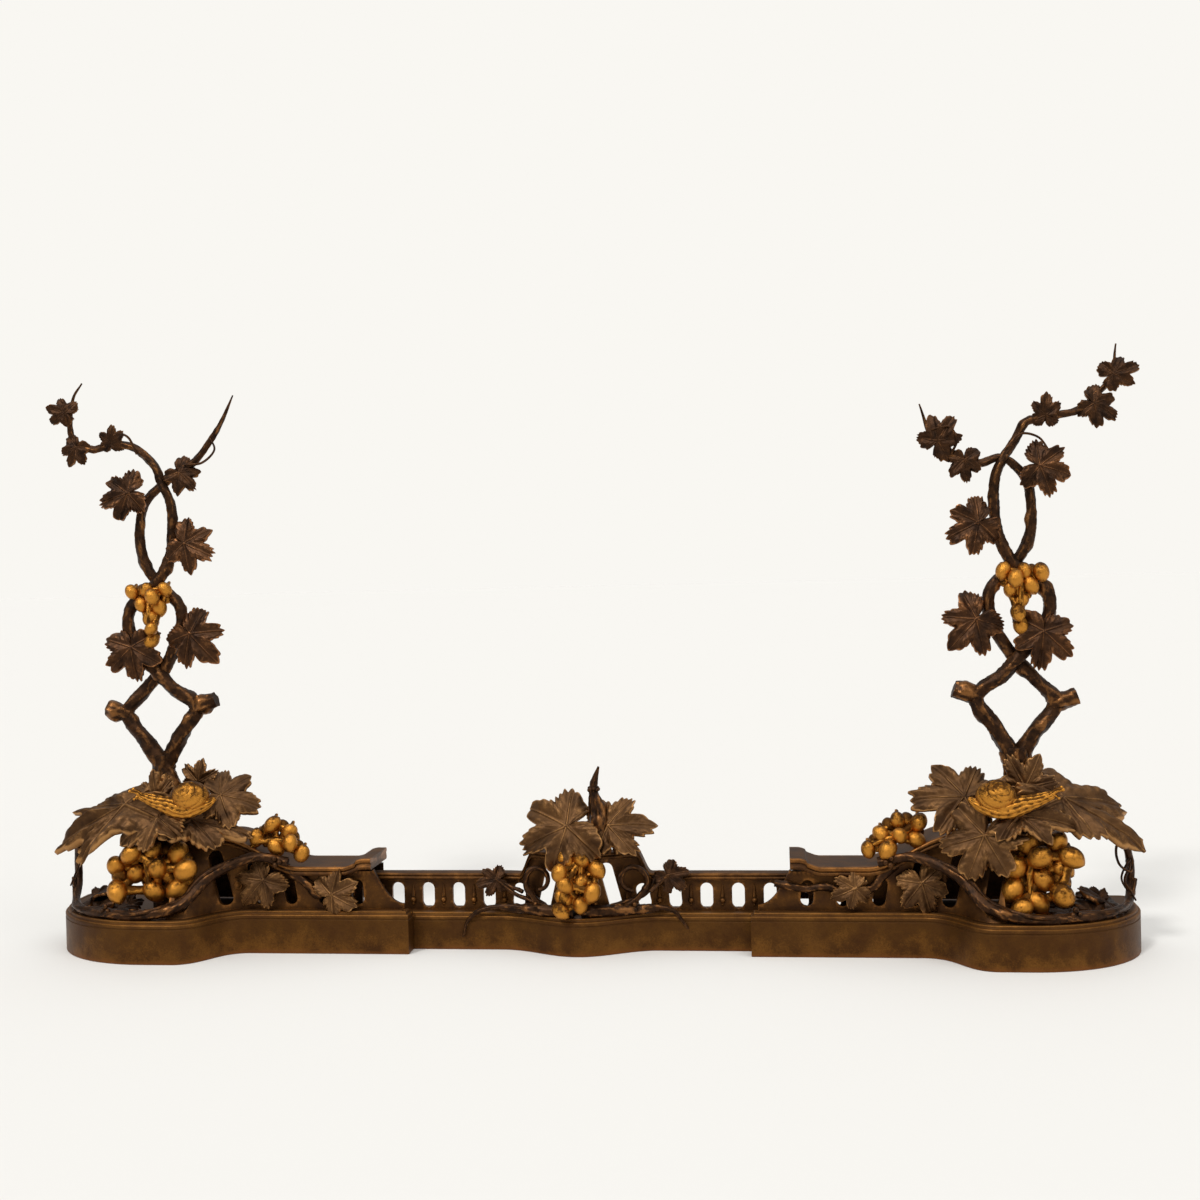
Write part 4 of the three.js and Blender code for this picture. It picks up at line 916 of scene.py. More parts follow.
class Finish(Enum):
    """The fender's finishes: the record's slot, the word for a dressed piece, and the look."""

    PLINTH = (
        "rust_bronze", "dressed",
        RustedBronze("rusted cast bronze", "#482a0e", "#583710", "#8a5a24", "#5e4627", 0.2, 0.5, 0.42, 30),
    )
    RAIL = (
        "dull_bronze", "dressed",
        BronzePatina("dusty cast bronze", "#3a2210", "#573614", "#94602c", "#6b4a22", 0.2, 0.5, 0.36),
    )
    LEAF = (
        "dull_bronze", "veined",
        BronzePatina("leaf bronze", "#3f2814", "#634324", "#a87a48", "#755636", 0.3, 0.48, 0.36, 26),
    )
    STEM = (
        "dark_bronze", "bark",
        BronzePatina(
            "bark bronze", "#201106", "#422813", "#7d522a", "#58402a", 0.15, 0.44, cloud_mm=9, rub_sheen_from=1.25
        ),
    )
    TRELLIS_LEAF = (
        "dark_bronze", "veined",
        BronzePatina("dark leaf bronze", "#261509", "#482c16", "#94623a", "#5e4731", 0.15, 0.42, 0.32, 16),
    )
    GILT = (
        "gilt_bronze", "gilt",
        WornGilding("worn gilding", "#3c220c", "#664114", "#c08232", roughness=0.46, cloud_mm=7),
    )
    IRON = (
        "wrought_iron", "forged",
        BronzePatina("wrought iron", "#1f1d1b", "#3a3734", "#5a5652", "#5d5850", 0.3, 0.6, 0.45, 12),
    )

    @cached_property
    def material(self) -> bpy.types.Material:
        """The finish as a material, made once."""
        return self.value[2].material()


# ------------------------------------------------------------------ sections


def put(name: str, data: bpy.types.ID, place: Matrix | None = None) -> bpy.types.Object:
    """Put an object into the scene, at the origin unless a place is given."""
    made = bpy.data.objects.new(name, data)
    if place is not None:
        made.matrix_world = place
    bpy.context.scene.collection.objects.link(made)
    return made


@dataclass
class Section:
    """A part of the fender that moves as one: where it starts and which way its x runs."""

    body: str
    prefix: str
    start: float = 0.0
    outwards: int = 1
    depth_shift: float = 0.0

    def to_frame(self, points: np.ndarray) -> np.ndarray:
        """The section's millimetres as metres in the part's frame."""
        placed = points.copy()
        placed[:, 0] = self.outwards * (self.start + points[:, 0])
        placed[:, 1] += self.depth_shift
        return placed * MM

    def add(self, name: str, skin: Skin, finish: Finish, sharp: float = 60.0) -> bpy.types.Object:
        """Make a piece from a skin.

        Args:
            name: The piece's name after the section's prefix.
            skin: Its skin.
            finish: Its finish.
            sharp: Edges bent by more than this many degrees stay sharp.

        Returns:
            The finished object, which rides on the section's body.
        """
        mesh = bpy.data.meshes.new(self.prefix + name)
        mesh.from_pydata(self.to_frame(skin.points), [], [*skin.quads.tolist(), *skin.triangles.tolist()])
        wear_and_sheen = mesh.attributes.new("wear_and_sheen", "FLOAT", "POINT")
        wear_and_sheen.data.foreach_set("value", skin.wear_and_sheen.astype(np.float32))
        work = bmesh.new()
        work.from_mesh(mesh)
        bmesh.ops.recalc_face_normals(work, faces=work.faces)
        work.to_mesh(mesh)
        work.free()
        mesh.polygons.foreach_set("use_smooth", np.ones(len(mesh.polygons), bool))
        mesh.set_sharp_from_angle(angle=np.radians(sharp))
        mesh.materials.append(finish.material)
        piece = put(self.prefix + name, mesh)
        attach(piece, self.body)
        log.info("%s: %d points", piece.name, len(skin.points))
        return piece

    def dress(self, node: str, skin: Skin, finish: Finish, sharp: float = 60.0) -> bpy.types.Object:
        """Make the piece that stands for a CAD node, named after the node and the finish."""
        piece = self.add(f"{node}_{finish.value[1]}", skin, finish, sharp)
        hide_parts(self.prefix + node)
        return piece


# Ornament of the centre bar: x, y from the raised rail's front and z from its top.
CENTRE_BUD = ((24, 9, -1), (23, 8, 38), (19, 8, 60), (19, 8, 74), (25, 8, 95))
CENTRE_LEAVES = {
    "leaf_left": Leaf((-10, -7, 32), (-66, -13, 10), (-0.1, -0.9, 0.45), 0.93, root=(2, 6, -1), stalk=3.4),
    "leaf_right": Leaf((35, -2, 32), (84, -7, 36), (0.1, -0.9, 0.45), 0.9, root=(44, 8, -1), stalk=3.4),
}
# Grapes as across and up from the hearth.
CENTRE_GRAPES = (
    (-12, 108), (6, 106), (23, 95), (-17, 93), (6, 82),
    (-11, 80), (19, 72), (-14, 64), (4, 57), (-16, 52),
)
SCROLL_LEAF = {"face": (0, -1, 0.2), "breadth": 0.95, "stalk": 2.0, "rows": 22, "columns": 150}
# Each vine scroll: side, ring middle, half width and half height, reach, drop, and leaf.
SCROLLS = {
    "vine_left": (
        -1, (46, 14, 16), 132, 15,
        Leaf((-94, 1, 0), (-116, -3, -4), root=(-63, -4, -12), **SCROLL_LEAF),
    ),
    "vine_right": (
        1, (60, 17, 17), 120, 25,
        Leaf((99, 1, 6), (118, -3, -10), root=(79, -4, -12), **SCROLL_LEAF),
    ),
}


@dataclass
class CentreBar(Section):
    """The middle of the fender, which stands still: plinth, pierced wall, rail and ornament."""

    half: float = 345
    depth: float = 42
    plinth_height: float = 41
    bow_half: float = 88
    bow_depth: float = 31
    upper_bow: float = 23
    frieze_setback: float = 17
    frieze_thickness: float = 5
    rail_setback: float = 10
    rail_depth: float = 17
    rail_height: float = 8
    rail_top: float = 84
    raised_half: float = 58
    raised_slope: float = 16
    raised_height: float = 26
    ornament_middle: float = 5
    slot_width: float = 14
    slot_pitch: float = 35
    slot_lean: float = 0.12
    grape_radius: float = 9.5
    scroll_crest: float = 6.5
    scroll_leaf_height: float = 37

    def bow(self, x: np.ndarray | float) -> np.ndarray:
        """Share of the bow's depth at x: a raised cosine."""
        return np.where(np.abs(x) < self.bow_half, (1 + np.cos(np.pi * x / self.bow_half)) / 2, 0)

    def wall_front(self, x: np.ndarray | float) -> np.ndarray:
        """Front of the pierced wall at x."""
        return self.frieze_setback - self.upper_bow * self.bow(x)

    def rise(self, x: np.ndarray | float) -> np.ndarray:
        """Share of the rail's rise at x."""
        return 1 - smoothstep(np.abs(x - self.ornament_middle) - self.raised_half, 0, self.raised_slope)

    def under_rail(self, x: np.ndarray | float) -> np.ndarray:
        """Top of the pierced wall at x."""
        return self.rail_top + 1 - self.rail_height + self.raised_height * self.rise(x)

    def plinth(self) -> Skin:
        """The plinth: a moulding carried round its bowed plan."""
        front = np.linspace(-self.half, self.half, 240)
        line = np.column_stack([front, -self.bow_depth * self.bow(front)])
        loop = np.concatenate([line, [[self.half, self.depth], [-self.half, self.depth]]])
        return plinth_skin(loop, self.plinth_height)

    def rail(self) -> Skin:
        """The rail: a moulding with a round lower bead, carried along x, forward and up."""
        x = np.linspace(-self.half, self.half, 300)[:, None]
        depth, height = self.rail_depth, self.rail_height
        back = [[depth - 0.6, height], [depth, height - 0.6], [depth, 0.4]]
        beads = [nosing(7, 2.2, 2.2, 2.2, 2.2), nosing(7, 2.4, 5.9, 2.4, 2.0)]
        inset, up = np.concatenate([[[4, 0]], *beads, back]).T
        front = self.rail_setback - self.upper_bow * self.bow(x)
        low = self.rail_top - height + self.raised_height * self.rise(x)
        # The front beads are more worn: rubbed metal and a painted highlight along them.
        return grid_skin(spread(x, front + inset, low + up), 0.3 + 0.2 * (inset < 3)[None, :])

    def slots(self) -> list[tuple]:
        """Each slot's middle, low and high ends, width and lean, which grows beside the middle."""
        count = int((self.half - self.slot_width) / self.slot_pitch)
        places = []
        for i in range(-count, count + 1):
            x = i * self.slot_pitch
            side = np.sign(x)
            high = self.under_rail(x + side * self.slot_width) - 5
            lean = -self.slot_lean * side * (self.rise(x) + self.rise(x - side * self.slot_pitch))
            places.append((x, self.plinth_height + 2.5, high, self.slot_width, lean))
        return places

    def frieze(self) -> Skin:
        """The pierced wall between plinth and rail."""
        x = np.linspace(-self.half, self.half, 140)
        holes = [slot(*place) for place in self.slots()]
        outline = strip(x, self.plinth_height - 0.6, self.under_rail(x))
        return pierced_plate(outline, holes, lambda x, _: self.wall_front(x), self.frieze_thickness)

    def drops(self) -> Skin:
        """The relief on each pier between two slots: a bead on a tapered stalk."""
        skins = []
        slots = self.slots()
        for (x1, low, high1, *_), (x2, _, high2, *_) in zip(slots, slots[1:]):
            x = (x1 + x2) / 2
            y = self.wall_front(x)
            bead = low + 9
            stalk = [[x, y, min(high1, high2) - 2], [x, y - 0.4, bead + 4]]
            skins.append(tube(stalk, [1.2, 2.6], SMOOTH, 10, 3))
            skins.append(ball((x, y - 1.2, bead), 3.4))
            skins.append(ball((x, y - 0.8, bead - 4.4), 1.6))
        return Skin.joined(skins)

    def scroll(self, side: int, ring: tuple, reach: float, drop: float, leaf: Leaf) -> Skin:
        """A vine scroll on the plinth's top, with a hanging tendril, a curled ring and a leaf.

        Args:
            side: -1 on the left, 1 on the right.
            ring: The ring's middle, half width and half height.
            reach: How far out the tendril hangs.
            drop: Height of the tendril's end.
            leaf: The leaf.

        Returns:
            The whole vine.
        """
        middle, width, height = ring
        crest = self.plinth_height + self.scroll_crest
        front = -3.0
        edge = {x: -self.bow_depth * self.bow(x) for x in (4, 30, 34, 52, 60, 64)}
        root = [[4, edge[4] + 11, crest], [34, edge[34] + 6, crest]]
        root += [[64, edge[64] + 1, crest], [88, front, crest]]
        tendril = [
            [60, edge[60], crest + 1], [82, front, crest + 2], [0.5 * (88 + reach), front - 1, crest - 2],
            [reach - 6, front, crest - 14], [reach, front, drop],
        ]
        angle = np.linspace(-0.3 * np.pi, 1.5 * np.pi, 24)
        shrink = np.linspace(1, 0.7, 24)
        across = middle + width * shrink * np.cos(angle)
        curl = [across, edge[64] + np.linspace(0, 6, 24), crest + 31 + height * shrink * np.sin(angle)]
        start = [[middle - 8, edge[64], crest + 3], [middle + 2, edge[64], crest + 9]]
        loop = np.concatenate([start, np.column_stack(curl)])
        second = [[30, edge[30] + 7, crest + 2], [52, edge[52] + 7, crest + 8], [74, 0, crest + 16]]
        out = np.array([side, 1, 1])
        skins = [
            tube(out * root, [6.2, 6.0, 5.0, 2.8], VINE, 18, 1.6, 3),
            tube(out * tendril, [3, 2.8, 2.4, 1.3], TWIG, 12, 1.6, 4),
            tube(out * loop, [3.6, 3.4, 2.9, 2.2], TWIG, 12, 1.6, 5),
            tube(out * [*second, [reach - 36, 3, crest + 33]], [3, 2.4, 1.8], TWIG, 12, 1.6, 6),
            leaf.skin(),
        ]
        for dx, dz, size in ((-4, 1, 3.4), (2, 5, 3.0), (3, -1, 3.2)):
            skins.append(ball((side * (middle + dx), edge[64] - 4, crest + 1 + dz), size, 12, 0.7))
        return Skin.joined(skins)

    def bud(self, origin: np.ndarray) -> Skin:
        """The vine shoot between the leaves: a tapered stem with a ring of beads near its tip."""
        skins = [tube(origin + CENTRE_BUD, [12, 11, 10.5, 8, 5.2, 3.8, 1], TRUNK, 24, 1.6, 7)]
        for turn in np.arange(0, TURN, TURN / 9):
            place = [19 + 5 * np.cos(turn), 8 + 5 * np.sin(turn), 70 + np.sin(3 * turn)]
            skins.append(ball(origin + place, 2.3, 10))
        return Skin.joined(skins)

    def build(self) -> None:
        """Make every piece of the centre bar."""
        raised = self.rail_top + self.raised_height
        face = self.rail_setback - self.upper_bow
        origin = np.array([0, face, raised])
        self.dress("plinth", self.plinth(), Finish.PLINTH, 30)
        self.dress("rail", self.rail(), Finish.RAIL, 40)
        soften(self.dress("frieze", self.frieze(), Finish.RAIL, 30), 0.7)
        self.add("frieze_drops", self.drops(), Finish.RAIL)
        self.dress("bud_stem", self.bud(origin), Finish.STEM)
        for i, (name, leaf) in enumerate(CENTRE_LEAVES.items()):
            self.dress(name, leaf.moved(origin, 1 + i, rows=40, columns=280).skin(), Finish.LEAF)
        depth = face - self.grape_radius - 2
        stalk = [(6, face - 2, raised + 14), (6, depth, raised), (4, depth, self.rail_top)]
        stalk.append((-6, depth, self.plinth_height + 14))
        grapes = Bunch((0, depth, 0), CENTRE_GRAPES, self.grape_radius, stalk=stalk, seed=1)
        self.dress("grapes", grapes.skin(), Finish.GILT)
        lift = (0, 0, self.plinth_height + self.scroll_leaf_height)
        for i, (name, (*sizes, leaf)) in enumerate(SCROLLS.items()):
            self.dress(name, self.scroll(*sizes, leaf.moved(lift, 3 + i)), Finish.STEM)


# ------------------------------------------------------------------ end sections

# Stems of the trellis, from the foot of the trunk; the twigs of each side carry on from them.
INNER_STEM = (
    (0, 0, 76), (-20, 0, 112), (-40, 0, 146), (-13, -3, 169), (3, -3, 187), (27, 0, 214), (38, 0, 239),
    (33, 0, 261), (3, -3, 284), (-13, 0, 315), (-18, 0, 350), (-16, -2, 381), (-8, -2, 399),
)
OUTER_STEM = (
    (0, 1, 76), (20, 0, 108), (42, 0, 140), (21, 3, 165), (1, 3, 187), (-17, 0, 214), (-26, 0, 239),
    (-23, 0, 261), (0, 3, 284), (16, 0, 310), (21, 0, 345), (15, 2, 378), (-8, 2, 400),
)
STUBS = (((-36, 0, 143), (-50, 0, 149), (-64, 0, 154)), ((38, 0, 137), (52, 0, 142), (64, 0, 146)))
TRELLIS_LEAVES = {
    "trellis_leaf_low_inner": Leaf((-40, -14, 230), (-68, -20, 200), root=(-22, -2, 236)),
    "trellis_leaf_low_outer": Leaf((29, -15, 216), (24, -21, 176), root=(27, -2, 220)),
    "trellis_leaf_mid_inner": Leaf((-36, -14, 332), (-69, -20, 317), root=(-16, -2, 336)),
    "trellis_leaf_high_outer": Leaf((28, -14, 390), (61, -20, 380), root=(14, -2, 382)),
}
TRELLIS_GRAPES = (
    (8, -4), (-14, -4), (25, -6), (-3, -12), (14, -20), (-7, -24), (4, -36), (-1, -48), (3, -62),
)

# Stalks of the three bunches: from the trellis bunch's top, the plinth's top and the trunk's foot.
TRELLIS_STALK = ((3, 6, 2), (4, 0, -10), (3, -6, -34), (3, -4, -58))
LARGE_STALK = ((10, -20, 80), (10, -34, 66), (6, -38, 44), (6, -40, 28))
SMALL_STALK = ((-96, -4, -18), (-110, -6, -8), (-134, -8, -4), (-152, -8, -10))

# Small crumpled leaves on the plinth's end: across, in from the front edge, and up.
GROUND_LEAVES = (
    ((356, 30, 7), (386, 20, 6), (0.2, -0.5, 1)),
    ((374, 36, 12), (392, 52, 8), (0.5, -0.4, 1)),
    ((330, 34, 6), (312, 20, 5), (-0.2, -0.5, 1)),
    ((368, 46, 14), (350, 60, 18), (0, -0.8, 0.8)),
    ((374, 62, 10), (386, 80, 8), (0.2, -0.6, 1)),
    ((326, 52, 8), (310, 66, 12), (-0.1, -0.8, 0.8)),
)


@dataclass(frozen=True)
class Growth:
    """What grows differently on the left and the right end, from the foot of the trunk."""

    inner_twig: tuple
    outer_twig: tuple
    twig_leaves: tuple
    canopy: dict
    snail: tuple
    large: tuple
    small: tuple
    side_vine: tuple
    side_leaves: tuple
    tendrils: tuple
    extra_leaf: tuple = ()


LEFT = Growth(
    inner_twig=(
        (2, 0, 421), (24, 0, 441), (49, 0, 446), (75, 0, 441),
        (91, 0, 447), (100, 0, 460), (96, 0, 500), (85, 0, 517),
    ),
    outer_twig=((-28, 0, 415), (-45, 0, 423), (-67, 0, 449), (-80, 0, 470), (-93, 0, 497)),
    twig_leaves=(
        Leaf((104, -6, 484), (126, -9, 491), (0.2, -1, 0.2)),
        Leaf((50, -6, 448), (50, -9, 469)),
        Leaf((92, -6, 444), (102, -9, 423)),
        Leaf((-30, -7, 412), (-50, -11, 393), (-0.2, -1, 0.2)),
    ),
    canopy={
        "leaf_snail": Leaf((-44, -34, 24), (-112, -30, 12), (-0.1, -0.55, 0.85), 0.55, root=(-20, 0, 8)),
        "leaf_front": Leaf((-10, -46, 28), (34, -54, 8), (0.1, -0.75, 0.65), 0.85, root=(-2, -2, 14)),
        "leaf_inner": Leaf((-70, -12, 48), (-116, -14, 40), (-0.2, -0.75, 0.6), root=(-6, 2, 16)),
        "leaf_outer": Leaf((34, -30, 40), (139, -36, -4), (0.25, -0.7, 0.7), 0.44, 0.1, -0.1, root=(8, 0, 20)),
        "leaf_back": Leaf((-38, 4, 60), (-42, 0, 86), (0, -0.9, 0.4), root=(-4, 2, 34)),
    },
    snail=(-49, -46, 51),
    large=(
        (6, 70), (24, 70), (-25, 67), (47, 54), (-8, 54), (-40, 52), (23, 46), (38, 29), (-26, 30), (1, 27),
    ),
    small=((-126, 12), (-108, -2), (-146, 4), (-131, -12), (-151, -6), (-161, -20)),
    side_vine=((142, 96), (134, 88), (120, 78), (106, 64), (92, 68)),
    side_leaves=(((166, 82), (190, 56)), ((88, 66), (58, 80))),
    tendrils=(
        ((20, -4, 434), (30, -6, 454), (46, -5, 458), (60, -3, 446)),
        ((-36, -4, 420), (-58, -7, 422), (-72, -6, 436), (-66, -3, 450)),
        ((120, 26, -14), (112, 20, -30), (118, 16, -48), (126, 20, -62)),
    ),
    extra_leaf=(Leaf((-1, -28, 44), (4, -28, 80), (0.1, -1, 0.15), 0.7, root=(2, 0, 30)),),
)

RIGHT = Growth(
    inner_twig=(
        (6, 0, 420), (17, 0, 437), (41, 0, 442), (78, 0, 450), (86, 0, 461), (104, 0, 479), (110, 0, 516),
    ),
    outer_twig=((-32, 0, 395), (-50, 0, 399), (-65, 0, 407), (-81, 0, 423), (-94, 0, 460)),
    twig_leaves=(
        Leaf((36, -6, 443), (38, -9, 466)),
        Leaf((86, -6, 454), (110, -9, 439)),
        Leaf((106, -6, 484), (131, -9, 493), (0.2, -1, 0.3)),
        Leaf((-48, -6, 399), (-46, -9, 374)),
        Leaf((-76, -6, 420), (-58, -9, 446)),
    ),
    canopy={
        "leaf_snail": Leaf((-4, -42, 26), (54, -48, 24), (0.2, -0.6, 0.75), 0.6, root=(-2, 0, 12)),
        "leaf_front": Leaf((-40, -44, 6), (-62, -56, -42), (-0.1, -0.85, 0.5), 0.95, root=(-16, 0, 4)),
        "leaf_inner": Leaf((-56, -14, 42), (-110, -16, 44), (-0.2, -0.8, 0.55), root=(-6, 2, 22)),
        "leaf_outer": Leaf((44, -22, 42), (133, -30, 0), (0.3, -0.6, 0.75), 0.54, 0.12, 0.18, root=(8, 0, 24)),
        "leaf_back": Leaf((6, -21, 52), (22, -25, 86), (0.1, -0.95, 0.3), root=(0, -2, 42)),
    },
    snail=(-28, -46, 47),
    large=(
        (6, 78), (36, 78), (16, 66), (48, 66), (-6, 53), (41, 52),
        (20, 42), (-11, 30), (37, 28), (14, 18), (-4, 15),
    ),
    small=((-125, 14), (-103, 12), (-143, 0), (-124, 0), (-106, -6), (-157, -16), (-137, -14)),
    side_vine=((156, 98), (142, 86), (128, 72), (104, 70), (78, 74), (60, 72), (26, 78)),
    side_leaves=(((182, 80), (192, 46)), ((112, 74), (88, 64))),
    tendrils=(
        ((0, -4, 412), (10, -7, 424), (28, -7, 420), (40, -6, 404)),
        ((-62, -3, 405), (-56, -6, 420), (-64, -7, 434), (-82, -4, 432)),
        (
            (118, 22, -4), (106, 18, -18), (108, 14, -36), (120, 16, -44),
            (122, 20, -30), (112, 24, -52), (122, 28, -72),
        ),
        ((121, 24, -40), (114, 18, -54), (120, 16, -66), (126, 22, -76)),
    ),
)


@dataclass
class VineEnd(Section):
    """One sliding end: plinth, shelf, pierced wall, trellis, canopy of leaves, snail and grapes."""

    growth: Growth = LEFT
    seed: int = 0
    length: float = 418
    plinth_height: float = 47
    front_step: float = 24
    bulge: float = 54
    back_edge: float = 77
    straight: float = 181
    sweep: float = 75
    rounding_start: float = 288
    rounding_back: float = 39
    back_corner: float = 16
    ledge: float = 15
    channel: float = 197.6
    slide_gap: float = 1.6
    rail_front: float = 18
    rail_depth: float = 70
    rail_thickness: float = 10.5
    rail_inner: float = 43
    dip_end: float = 125
    shelf_start: float = 217
    shelf_end: float = 330
    dip_underside: float = 85.6
    shelf_rise: float = 34.5
    frieze_end: float = 264
    frieze_tail: float = 35
    frieze_thickness: float = 5
    slot_count: int = 6
    slot_start: float = 61
    slot_pitch: float = 39
    slot_width: float = 14
    slot_lean: float = 0.05
    boss_reach: float = 199
    boss_height: float = 27
    trunk_reach: float = 284
    trunk_forward: float = 8
    rim_radius: float = 5

    @property
    def shelf_top(self) -> float:
        """Height of the shelf's upper face."""
        return self.dip_underside + self.shelf_rise + self.rail_thickness

    @property
    def foot(self) -> np.ndarray:
        """The foot of the trunk."""
        return np.array([self.trunk_reach, -self.trunk_forward, self.shelf_top])

    def front_line(self) -> np.ndarray:
        """The plinth's front and rounded end as (x, y) points: straight, S-sweep, round."""
        straight = np.column_stack([np.linspace(0, self.straight, 8), np.full(8, -self.front_step)])
        t = np.linspace(0, 1, 40)[1:, None]
        ease = 0.55 * self.sweep
        bulge_y = -self.front_step - self.bulge
        a = np.array([self.straight, -self.front_step])
        d = np.array([self.straight + self.sweep, bulge_y])
        b, c = a + [ease, 0], d - [ease, 0]
        swept = (1 - t) ** 3 * a + 3 * (1 - t) ** 2 * t * b + 3 * (1 - t) * t**2 * c + t**3 * d
        angle = np.linspace(-np.pi / 2, 0, 60)
        across = self.rounding_start + (self.length - self.rounding_start) * np.cos(angle)
        deep = self.rounding_back + (self.rounding_back - bulge_y) * np.sin(angle)
        return np.concatenate([straight, swept, np.column_stack([across, deep])])

    def plan(self) -> np.ndarray:
        """The plinth's plan, with the way for the centre bar left open behind its straight front."""
        t = np.linspace(0, 1, 10)[:, None]
        a = np.array([self.length, self.back_edge - self.back_corner])
        b = np.array([self.length, self.back_edge])
        c = np.array([self.length - self.back_corner, self.back_edge])
        corner = (1 - t) ** 2 * a + 2 * (1 - t) * t * b + t**2 * c
        way = [[self.channel, self.back_edge], [self.channel, -self.slide_gap], [0, -self.slide_gap]]
        return np.concatenate([self.front_line(), corner, way])

    def edge_y(self, x: np.ndarray | float, inset: float) -> np.ndarray:
        """The y of the plinth's front edge at x, moved inwards."""
        line = self.front_line()
        moved = line + inset * unit(np.gradient(line, axis=0))[:, ::-1] * [-1, 1]
        order = np.argsort(moved[:, 0])
        return np.interp(x, moved[order, 0], moved[order, 1])

    def underside(self, x: np.ndarray | float) -> np.ndarray:
        """Height of the rail's underside at x."""
        return self.dip_underside + self.shelf_rise * smoothstep(x, self.dip_end, self.shelf_start)

    def rail(self) -> Skin:
        """The shelf rail: a moulded edge carried along x over the dip, the block and the shelf.

        Its half width is that of a half circle past the shelf's middle. A block with a lip stands
        on its inner end.
        """
        dip = np.linspace(self.rail_inner, self.shelf_start, 150)
        shelf = np.linspace(self.shelf_start, self.shelf_end - 0.4, 80)[1:]
        x = np.concatenate([dip, shelf])[:, None]
        lift = 7 * (1 - smoothstep(x, self.rail_inner + 8, self.rail_inner + 34))
        step = 2.5 * (1 - smoothstep(x, self.rail_inner + 17, self.rail_inner + 19))
        radius = self.rail_depth / 2
        middle = radius - self.rail_front
        beyond = np.clip(x - (self.shelf_end - radius), 0, radius)
        half = np.sqrt(np.maximum(radius**2 - beyond**2, 1))
        thick = self.rail_thickness
        beads = [nosing(9, 2.6, 2.6, 2.6, 2.6), nosing(9, 1.4, thick - 2.6, 2.0, 2.6)]
        inset, up = np.concatenate([[[6, 0]], *beads, [[9, thick]]]).T
        y = np.concatenate([middle - half + inset, middle + half - inset[::-1]], 1)
        z = self.underside(x) + lift + up + step * (up > 5)
        # The beads are more worn: rubbed metal and a painted highlight along them.
        wear_and_sheen = np.repeat([0.2, 0.5, 0.75, 0.3], [1, 9, 9, 1])
        points = spread(x, y, np.concatenate([z, z[:, ::-1]], 1))
        return grid_skin(points, np.concatenate([wear_and_sheen, wear_and_sheen[::-1]])[None, :])

    def frieze_front(self, x: np.ndarray | float, z: np.ndarray | float) -> np.ndarray:
        """The wall's front: a straight line at each x from the plinth's edge up to the rail."""
        top = -self.front_step + self.ledge
        low = np.minimum(top, self.edge_y(x, self.ledge))
        share = np.clip((z - self.plinth_height) / (self.underside(x) + 14 - self.plinth_height), 0, 1)
        return low + (top - low) * share

    def frieze(self) -> Skin:
        """The pierced wall under the rail, with a hollow tail past the rail's inner end."""
        x = np.linspace(self.rail_inner - self.frieze_tail, self.frieze_end, 120)
        share = np.clip((x - self.rail_inner + self.frieze_tail) / self.frieze_tail, 0, 1)
        low = self.plinth_height + 6
        tail = low + (self.dip_underside + 7 - low) * share**2
        top = np.where(x < self.rail_inner, tail, self.underside(x) + 4)
        outline = strip(x, self.plinth_height - 0.6, top)
        holes = []
        for i in range(self.slot_count):
            place = self.slot_start + self.slot_pitch * i
            ends = (self.plinth_height + 5, self.underside(place) - 5)
            holes.append(slot(place, *ends, self.slot_width, self.slot_lean * (1 + i)))
        return pierced_plate(outline, holes, self.frieze_front, self.frieze_thickness)

    def rim(self) -> Skin:
        """The hoop of vine: from a knot under the rail, round the plinth's end, up to the leaf."""
        lying = self.plinth_height + self.rim_radius
        knot = self.shelf_top - 22
        outer = self.length - 2 * self.rim_radius
        front, back = -self.rail_front, self.rounding_back
        route = [
            [136, front - 5, knot - 6], [173, front - 8, knot], [216, front - 24, knot - 16],
            [246, front - 46, self.plinth_height + 16],
            *([x, self.edge_y(x, 2 * self.rim_radius), lying] for x in (288, 336, 372)),
            [outer - 8, back - 34, lying + 2], [outer, back - 10, lying + 20],
            [outer - 1, back - 12, lying + 44], [outer - 8, back - 24, lying + 66],
        ]
        radii = [self.rim_radius + more for more in (0, 0.6, 1, 0.5, 0, -0.5, -1)]
        twin = [[x + 4, y + 5 * (-1) ** i, z + 3.5] for i, (x, y, z) in enumerate(route[1:9])]
        skins = [tube(route, radii, TWIG, 18, 1.8, 11), tube(twin, [2.6, 3, 2.4], TWIG, 12, 2, 12)]
        for x, up in ((330, 4), (337, 4), (333, 9)):
            skins.append(ball((x, self.edge_y(x, 2 * self.rim_radius) - 3, lying + up), 3.2, 12))
        for x, down in ((150, 1), (144, 5), (149, 8)):
            skins.append(ball((x, front - 11, knot - down), 3.4, 12))
        return Skin.joined(skins)

    def tray(self) -> Skin:
        """Rough ground of leaf scraps inside the hoop: a patch between the hoop and a line behind.

        Its height over the plinth is a sum of waves along and across the patch, cut off below.
        """
        rng = np.random.default_rng(21)
        u = np.linspace(0, 1, 90)[:, None]
        v = np.linspace(0, 1, 44)[None, :]
        x = 292 + 104 * u
        y = self.edge_y(x, 1.6 * self.rim_radius) + 46 * v
        waves = zip(rng.normal(0, 34, 12), rng.normal(0, 18, 12), rng.uniform(0, TURN, 12))
        pattern = sum(np.cos(a * u + b * v + c) for a, b, c in waves)
        edge = np.minimum(1, 9 * np.minimum(np.minimum(u, 1 - u), np.minimum(v + 0.05, 1 - v)))
        z = self.plinth_height + 0.4 + edge * (2.2 + 1.9 * np.tanh(0.5 * pattern))
        top = spread(x, y, z)
        under = top * [1, 1, 0] + [0, 0, self.plinth_height + 0.1]
        wear_and_sheen = np.concatenate([0.5 + 0.12 * pattern, np.zeros_like(pattern)])
        return closed_patch(np.concatenate([top, under[::-1]]), wear_and_sheen)

